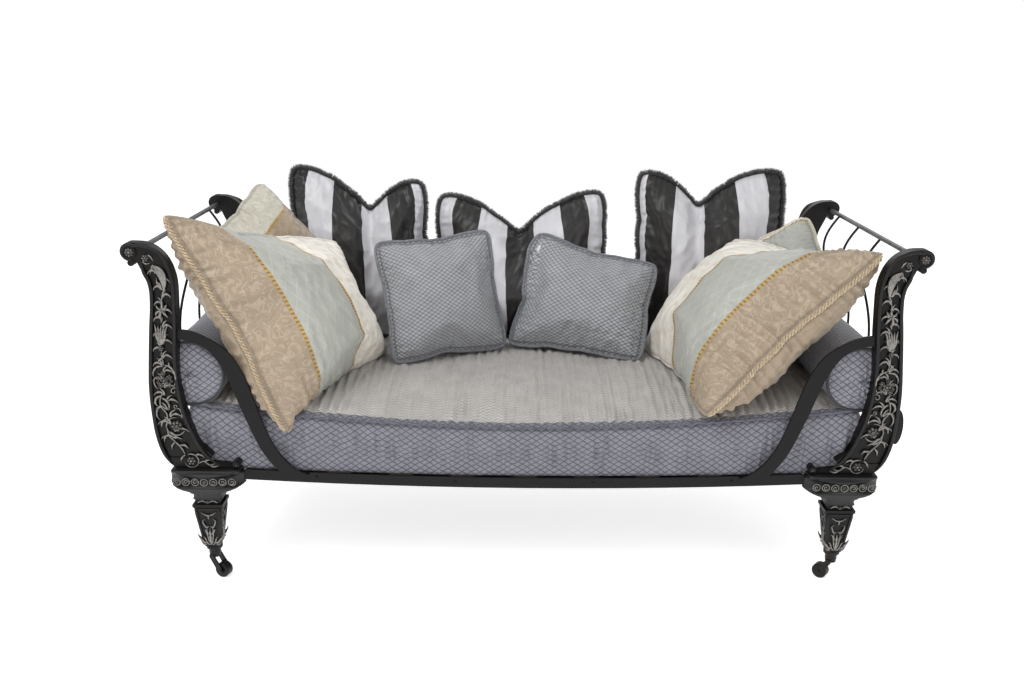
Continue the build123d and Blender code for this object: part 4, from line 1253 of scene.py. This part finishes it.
# %% Where each cushion lies
# Corners top left, top right, bottom right, bottom left, in metres; then the case's flat size, its
# thickness, how far its sides bulge along u and v and its corners round off, its chop (middle,
# depth, width), the belly of its back, and its puckers (height at the seams, their reach, crumple).
beds = {
    "striped_cushion_left": ([(-0.708, 0.310, 1.004), (-0.312, 0.335, 0.962),
                              (-0.285, 0.262, 0.470), (-0.690, 0.215, 0.470)],
                             (0.56, 0.56), 0.190, (0.085, 0.03, 0.05), (0.16, 0.105, 0.34),
                             0.0, (0.0030, 0.05, 0.0036)),
    "striped_cushion_middle": ([(-0.262, 0.315, 0.924), (0.240, 0.315, 0.938),
                                (0.262, 0.235, 0.465), (-0.272, 0.235, 0.465)],
                               (0.58, 0.52), 0.190, (0.07, 0.03, 0.05), (-0.03, 0.120, 0.38),
                               0.0, (0.0030, 0.05, 0.0036)),
    "striped_cushion_right": ([(0.350, 0.335, 1.000), (0.784, 0.310, 1.002),
                               (0.782, 0.205, 0.470), (0.338, 0.262, 0.470)],
                              (0.56, 0.56), 0.190, (0.075, 0.03, 0.05), (-0.16, 0.100, 0.34),
                              0.0, (0.0030, 0.05, 0.0036)),
    "beige_cushion_back_left": ([(-0.860, -0.130, 0.850), (-0.745, 0.070, 1.000),
                                 (-0.500, 0.160, 0.700), (-0.640, -0.100, 0.480)],
                                (0.48, 0.48), 0.150, (0.05, 0.05, 0.09), None,
                                0.0, (0.0030, 0.05, 0.0030)),
    "beige_cushion_back_right": ([(0.590, 0.175, 0.770), (0.805, 0.110, 0.905),
                                  (0.872, -0.040, 0.720), (0.690, -0.030, 0.485)],
                                 (0.42, 0.42), 0.140, (0.06, 0.06, 0.08), None,
                                 0.0, (0.0030, 0.05, 0.0026)),
    "grey_cushion_left": ([(-0.437, 0.100, 0.809), (-0.108, 0.225, 0.827),
                           (-0.049, 0.152, 0.480), (-0.373, -0.024, 0.480)],
                          (0.40, 0.40), 0.150, (0.028, 0.028, 0.050), None,
                          0.0, (0.0026, 0.045, 0.0020)),
    "grey_cushion_right": ([(0.041, 0.235, 0.812), (0.399, 0.180, 0.733),
                            (0.342, 0.030, 0.478), (-0.050, 0.172, 0.482)],
                           (0.42, 0.36), 0.150, (0.028, 0.030, 0.050), None,
                           0.0, (0.0026, 0.045, 0.0024)),
    "beige_cushion_front_left": ([(-0.876, -0.374, 0.972), (-0.535, 0.060, 0.822),
                                  (-0.403, 0.096, 0.480), (-0.598, -0.396, 0.410)],
                                 (0.56, 0.56), 0.270, (0.035, 0.05, 0.02), None,
                                 -0.055, (0.0056, 0.100, 0.0034)),
    "beige_cushion_front_right": ([(0.630, 0.190, 0.815), (0.874, -0.352, 0.890),
                                   (0.450, -0.396, 0.470), (0.365, 0.171, 0.480)],
                                  (0.60, 0.56), 0.270, (0.055, 0.05, 0.02), None,
                                  0.060, (0.0056, 0.100, 0.0034)),
}
print("cushions", len(beds))

# %% Finer grids, and the puckers that a seam leaves
def finer(grid, cells):
    """The grid at more cells, smooth both ways."""
    n = len(grid) - 1
    knots, at = np.arange(n + 1), np.linspace(0, n, cells + 1)
    once = smooth_line(knots, grid.reshape(n + 1, -1), at).reshape(cells + 1, n + 1, 3)
    twice = smooth_line(knots, once.transpose(1, 0, 2).reshape(n + 1, -1), at)
    return twice.reshape(cells + 1, cells + 1, 3).transpose(1, 0, 2)


def puckered(grid, size, seed, way, height, reach, crumple, corded=0):
    """The grid moved along its own normal: short folds at right angles to each seam that die
    away over reach, and broad sharp-crested crumples in between.  With a corded side (-1 or
    1 along u) the folds fade towards the opposite one."""
    n = len(grid) - 1
    u, v = np.meshgrid(np.linspace(-1, 1, n + 1), np.linspace(-1, 1, n + 1), indexing="ij")
    x, y = u * size[0] / 2, v * size[1] / 2
    from_u, from_v = size[0] / 2 - np.abs(x), size[1] / 2 - np.abs(y)
    edge = np.clip(np.minimum(from_u, from_v) / 0.024, 0, 1)
    folds = np.exp(-from_u / reach) * ripples(y, 0.3 * from_u, seed, 0.030, 0.2) \
        + np.exp(-from_v / reach) * ripples(x, 0.3 * from_v, seed + 1, 0.030, 0.2)
    if corded:
        folds = folds * np.clip(0.4 + 0.7 * corded * u, 0.12, 1)
    crest = 1 - np.abs(ripples(x, y, seed + 2, 0.17, 0.21, 5)) \
        - 0.6 * np.abs(ripples(x, y, seed + 3, 0.09, 0.12, 5))
    normal = unit(np.cross(np.gradient(grid, axis=0), np.gradient(grid, axis=1))) * way
    groove = np.exp(-((np.minimum(from_u, from_v) - 0.009) / 0.005) ** 2)
    rise = edge * (height * folds + crumple * np.clip(crest, -1, 1)) - 0.0016 * groove
    return grid + normal * rise[..., None]


print("finer grids ready")

# %% Sew, stuff and lay them
def bvh_of(points, quads):
    """Search tree of a mesh given as points and quads."""
    return BVHTree.FromPolygons(points.tolist(), quads.tolist())


def node_bvh(name):
    """Search tree of a CAD node's own faces."""
    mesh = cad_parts[name].data
    return BVHTree.FromPolygons([v.co for v in mesh.vertices], [p.vertices for p in mesh.polygons])


rests = [node_bvh("bolster_left"), node_bvh("bolster_right")]
faces_of, sizes = {}, {}
cells, fine_cells = ((44, 120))
for number, (name, (hung_at, size, thick, bulge, chop, belly, folds)) in enumerate(beds.items()):
    points, quads, place, side, front, back = stuffed(*size, cells, seed=40 + number)
    out = laid((points, place, side), hung_at, thick, bulge, chop, belly)
    clear = kept_off(out, rests)
    over_bed = np.abs(out[:, 1]) < 0.366
    floor_z = mattress_top(clear[:, 0], clear[:, 1]) + 0.002
    clear[:, 2] = np.where(over_bed, np.maximum(clear[:, 2], floor_z), clear[:, 2])
    out = eased(out, clear, quads)
    out[:, 2] = np.where(over_bed, np.maximum(out[:, 2], floor_z - 0.003), out[:, 2])
    rests.append(bvh_of(out, quads))
    faces_of[name] = [puckered(finer(out[index], fine_cells), size, 60 + 10 * number + k, way,
                               *folds, corded=np.sign(belly))
                      for k, (index, way) in enumerate(((front, 1), (back, -1)))]
    sizes[name] = size
    print(name, "lies from", out.min(axis=0).round(3), "to", out.max(axis=0).round(3))

# %% Cloth on the cushions
def cloth_uv(name, from_edge=None, shift=0.0, stretch=1.0):
    """Place on the cloth in metres for front and back; from_edge turns U to run from the corded
    edge, and the back starts 2 m further."""
    size = sizes[name]
    n = len(faces_of[name][0]) - 1
    u, v = np.meshgrid(np.linspace(-1, 1, n + 1) * size[0] / 2,
                       np.linspace(-1, 1, n + 1) * size[1] / 2, indexing="ij")
    if from_edge == "left":
        u = u + size[0] / 2
    elif from_edge == "right":
        u = size[0] / 2 - u
    elif from_edge == "top":
        u, v = size[1] / 2 - v, u
    far = 2.0 if from_edge else 0.0
    return [np.stack([u * stretch + shift + k * far, v], -1) for k in (0, 1)]


def cushion(name, finish_of, uvs):
    """Front and back of a laid case sewn into one piece, for its CAD solid; raised marks the
    seam's shadow, a bell round 9 mm in from the edge."""
    front, back = faces_of[name]
    n = len(front) - 1
    u, v = np.meshgrid(np.linspace(-1, 1, n + 1), np.linspace(-1, 1, n + 1), indexing="ij")
    off = np.minimum((1 - np.abs(u)) * sizes[name][0], (1 - np.abs(v)) * sizes[name][1]) / 2
    seam = np.exp(-((off - 0.009) / 0.004) ** 2)
    made = piece(name + "_case", [skin(front, uv=uvs[0], raised=seam),
                                  skin(back[:, ::-1], uv=uvs[1][:, ::-1], raised=seam[:, ::-1])],
                 finish_of, replaces=[name])
    return made


# Stripes: whether the first is black (1) or white (0), its share of a whole stripe, and how
# many widths of stripe cross the case.
stripes = {"striped_cushion_left": (1, 0.64, 5.1), "striped_cushion_middle": (0, 0.67, 6.4),
           "striped_cushion_right": (0, 0.28, 4.9)}
for name, (black, first, across) in stripes.items():
    stretch = across * stripe_width / sizes[name][0]
    start = across / 2 - first + black
    cushion(name, striped, cloth_uv(name, None, start * stripe_width, stretch))
for name, cloth_of, edge in (("beige_cushion_front_left", damask_front, "left"),
                             ("beige_cushion_front_right", damask_front, "right"),
                             ("beige_cushion_back_left", damask_left, "top"),
                             ("beige_cushion_back_right", damask_right, "top")):
    cushion(name, cloth_of, cloth_uv(name, edge))
for name in ("grey_cushion_left", "grey_cushion_right"):
    cushion(name, grey_quilt, cloth_uv(name))
print("cases", len(faces_of))

# %% [markdown]
# ## Cord, piping and fringe
#
# The seams are dressed: cream cushions with a cord of three twisted strands, grey ones with a
# piping of their own cloth, striped ones with a brush fringe of cut black wool.  A strand is a
# tube along a helix round the seam; a tuft is a thin spike with three sides.

# %% Seam lines
def seam_line(name, spacing, swell=0.0, edge=None):
    """A case's seam, or one edge of it, evenly divided, with the outward and the facing
    directions at each point."""
    g = faces_of[name][0]
    sides = {"bottom": g[:-1, 0], "right": g[-1, :-1], "top": g[:0:-1, -1], "left": g[0, :0:-1]}
    ring = np.concatenate(list(sides.values())) if edge is None else sides[edge]
    closed = np.concatenate([ring, ring[:1]]) if edge is None else ring
    run = np.concatenate([[0], np.cumsum(np.linalg.norm(np.diff(closed, axis=0), axis=1))])
    at = np.linspace(0, run[-1], int(run[-1] / spacing), endpoint=edge is not None)
    path = np.stack([np.interp(at, run, closed[:, k]) for k in range(3)], -1)
    centre = g.reshape(-1, 3).mean(axis=0)
    if edge is None:
        for _ in range(4):
            path = (np.roll(path, 1, 0) + 2 * path + np.roll(path, -1, 0)) / 4
        tangent = unit(np.roll(path, -1, 0) - np.roll(path, 1, 0))
    else:
        for _ in range(4):
            path[1:-1] = (path[:-2] + 2 * path[1:-1] + path[2:]) / 4
        tangent = unit(np.gradient(path, axis=0))
    facing = unit(np.cross(path - centre, tangent))
    outer = unit(np.cross(tangent, facing))
    outer = outer * np.sign(np.sum(outer * (path - centre), -1))[:, None]
    return path + outer * swell, outer, facing, tangent


def twisted(name, finish_of, strand, pitch, edge=None, strands=3):
    """Strands wound round the seam: each centre turns once in a pitch at a strand's radius."""
    path, outer, facing, _ = seam_line(name, 0.0026, strand, edge)
    turns = max(1, round(len(path) * 0.0026 / pitch))
    angle = 2 * np.pi * turns * np.arange(len(path)) / len(path)
    end = np.minimum(1, np.minimum(np.arange(len(path)), np.arange(len(path))[::-1]) / 5) \
        if edge else np.ones(len(path))
    skins = []
    for k in range(strands):
        a = angle + 2 * np.pi * k / strands
        centre = path + (1.08 * strand * end)[:, None] * (
            np.cos(a)[:, None] * outer + np.sin(a)[:, None] * facing)
        skins.append(tube(centre, outer, facing, strand * end, strand * end, 6,
                          closed=edge is None))
    return piece(name + "_cord", skins, finish_of)


def piped(name, finish_of, radius):
    """One round piping along the seam."""
    path, outer, facing, _ = seam_line(name, 0.005, radius * 0.6)
    return piece(name + "_piping", [tube(path, outer, facing, radius, radius, 8, closed=True)],
                 finish_of)


def brush(name, finish_of, count, length, seed):
    """Tufts of cut wool: each a spike from the seam outward, leaning a little at random."""
    path, outer, facing, tangent = seam_line(name, 0.003)
    dice = np.random.default_rng(seed)
    i = dice.integers(0, len(path), count)
    lean = outer[i] + facing[i] * dice.normal(0, 0.36, (count, 1)) \
        + tangent[i] * dice.normal(0, 0.28, (count, 1)) + np.array([0, 0.35, 0])
    root = path[i] + facing[i] * dice.uniform(-0.004, 0.004, (count, 1)) - outer[i] * 0.003
    tip = root + unit(lean) * length * dice.uniform(0.7, 1.1, (count, 1))
    wide, deep = tangent[i] * 0.0016, facing[i] * 0.0016
    points = np.stack([root - wide, root + wide, root + deep, tip], 1).reshape(-1, 3)
    base = 4 * np.arange(count)[:, None]
    faces = np.concatenate([base + f for f in ([0, 1, 3], [1, 2, 3], [2, 0, 3], [0, 2, 1])])
    return piece(name + "_fringe", [(points, faces, np.zeros((4 * count, 2)),
                                     np.zeros(4 * count))], finish_of, merge=1e-7)


for number, name in enumerate(stripes):
    brush(name, black_fringe, 10000, 0.020, 70 + number)
for name, edge in (("beige_cushion_front_left", "left"), ("beige_cushion_front_right", "right")):
    twisted(name, champagne_cord, 0.0034, 0.030, edge)
for name, edge in (("beige_cushion_back_left", "left"), ("beige_cushion_back_right", "right")):
    twisted(name, pale_cord, 0.0024, 0.018, edge)
for name in ("grey_cushion_left", "grey_cushion_right"):
    piped(name, grey_piping, 0.0046)
print("seams dressed")

# %% [markdown]
# ## Floor and finish
#
# A plain pale floor, and a note of the box that the iron and the cloth take up.

# %% Floor
ground, tree, shader = finish("pale_floor")
shader.inputs["Base Color"].default_value = linear("#ffffff")
shader.inputs["Roughness"].default_value = 0.9
shader.inputs["Emission Color"].default_value = (1, 1, 1, 1)
shader.inputs["Emission Strength"].default_value = 0.60
reach = 30.0
sheet = bpy.data.meshes.new("floor")
sheet.from_pydata([(-reach, -reach, 0), (reach, -reach, 0), (reach, reach, 0),
                   (-reach, reach, 0)], [], [(0, 1, 2, 3)])
sheet.materials.append(ground)
floor = bpy.data.objects.new("floor", sheet)
scene.collection.objects.link(floor)
floor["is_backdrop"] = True
print("floor laid")

# %% Sizes, then the last line
low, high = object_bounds()
print("visual box", [round(v, 3) for v in low], [round(v, 3) for v in high])
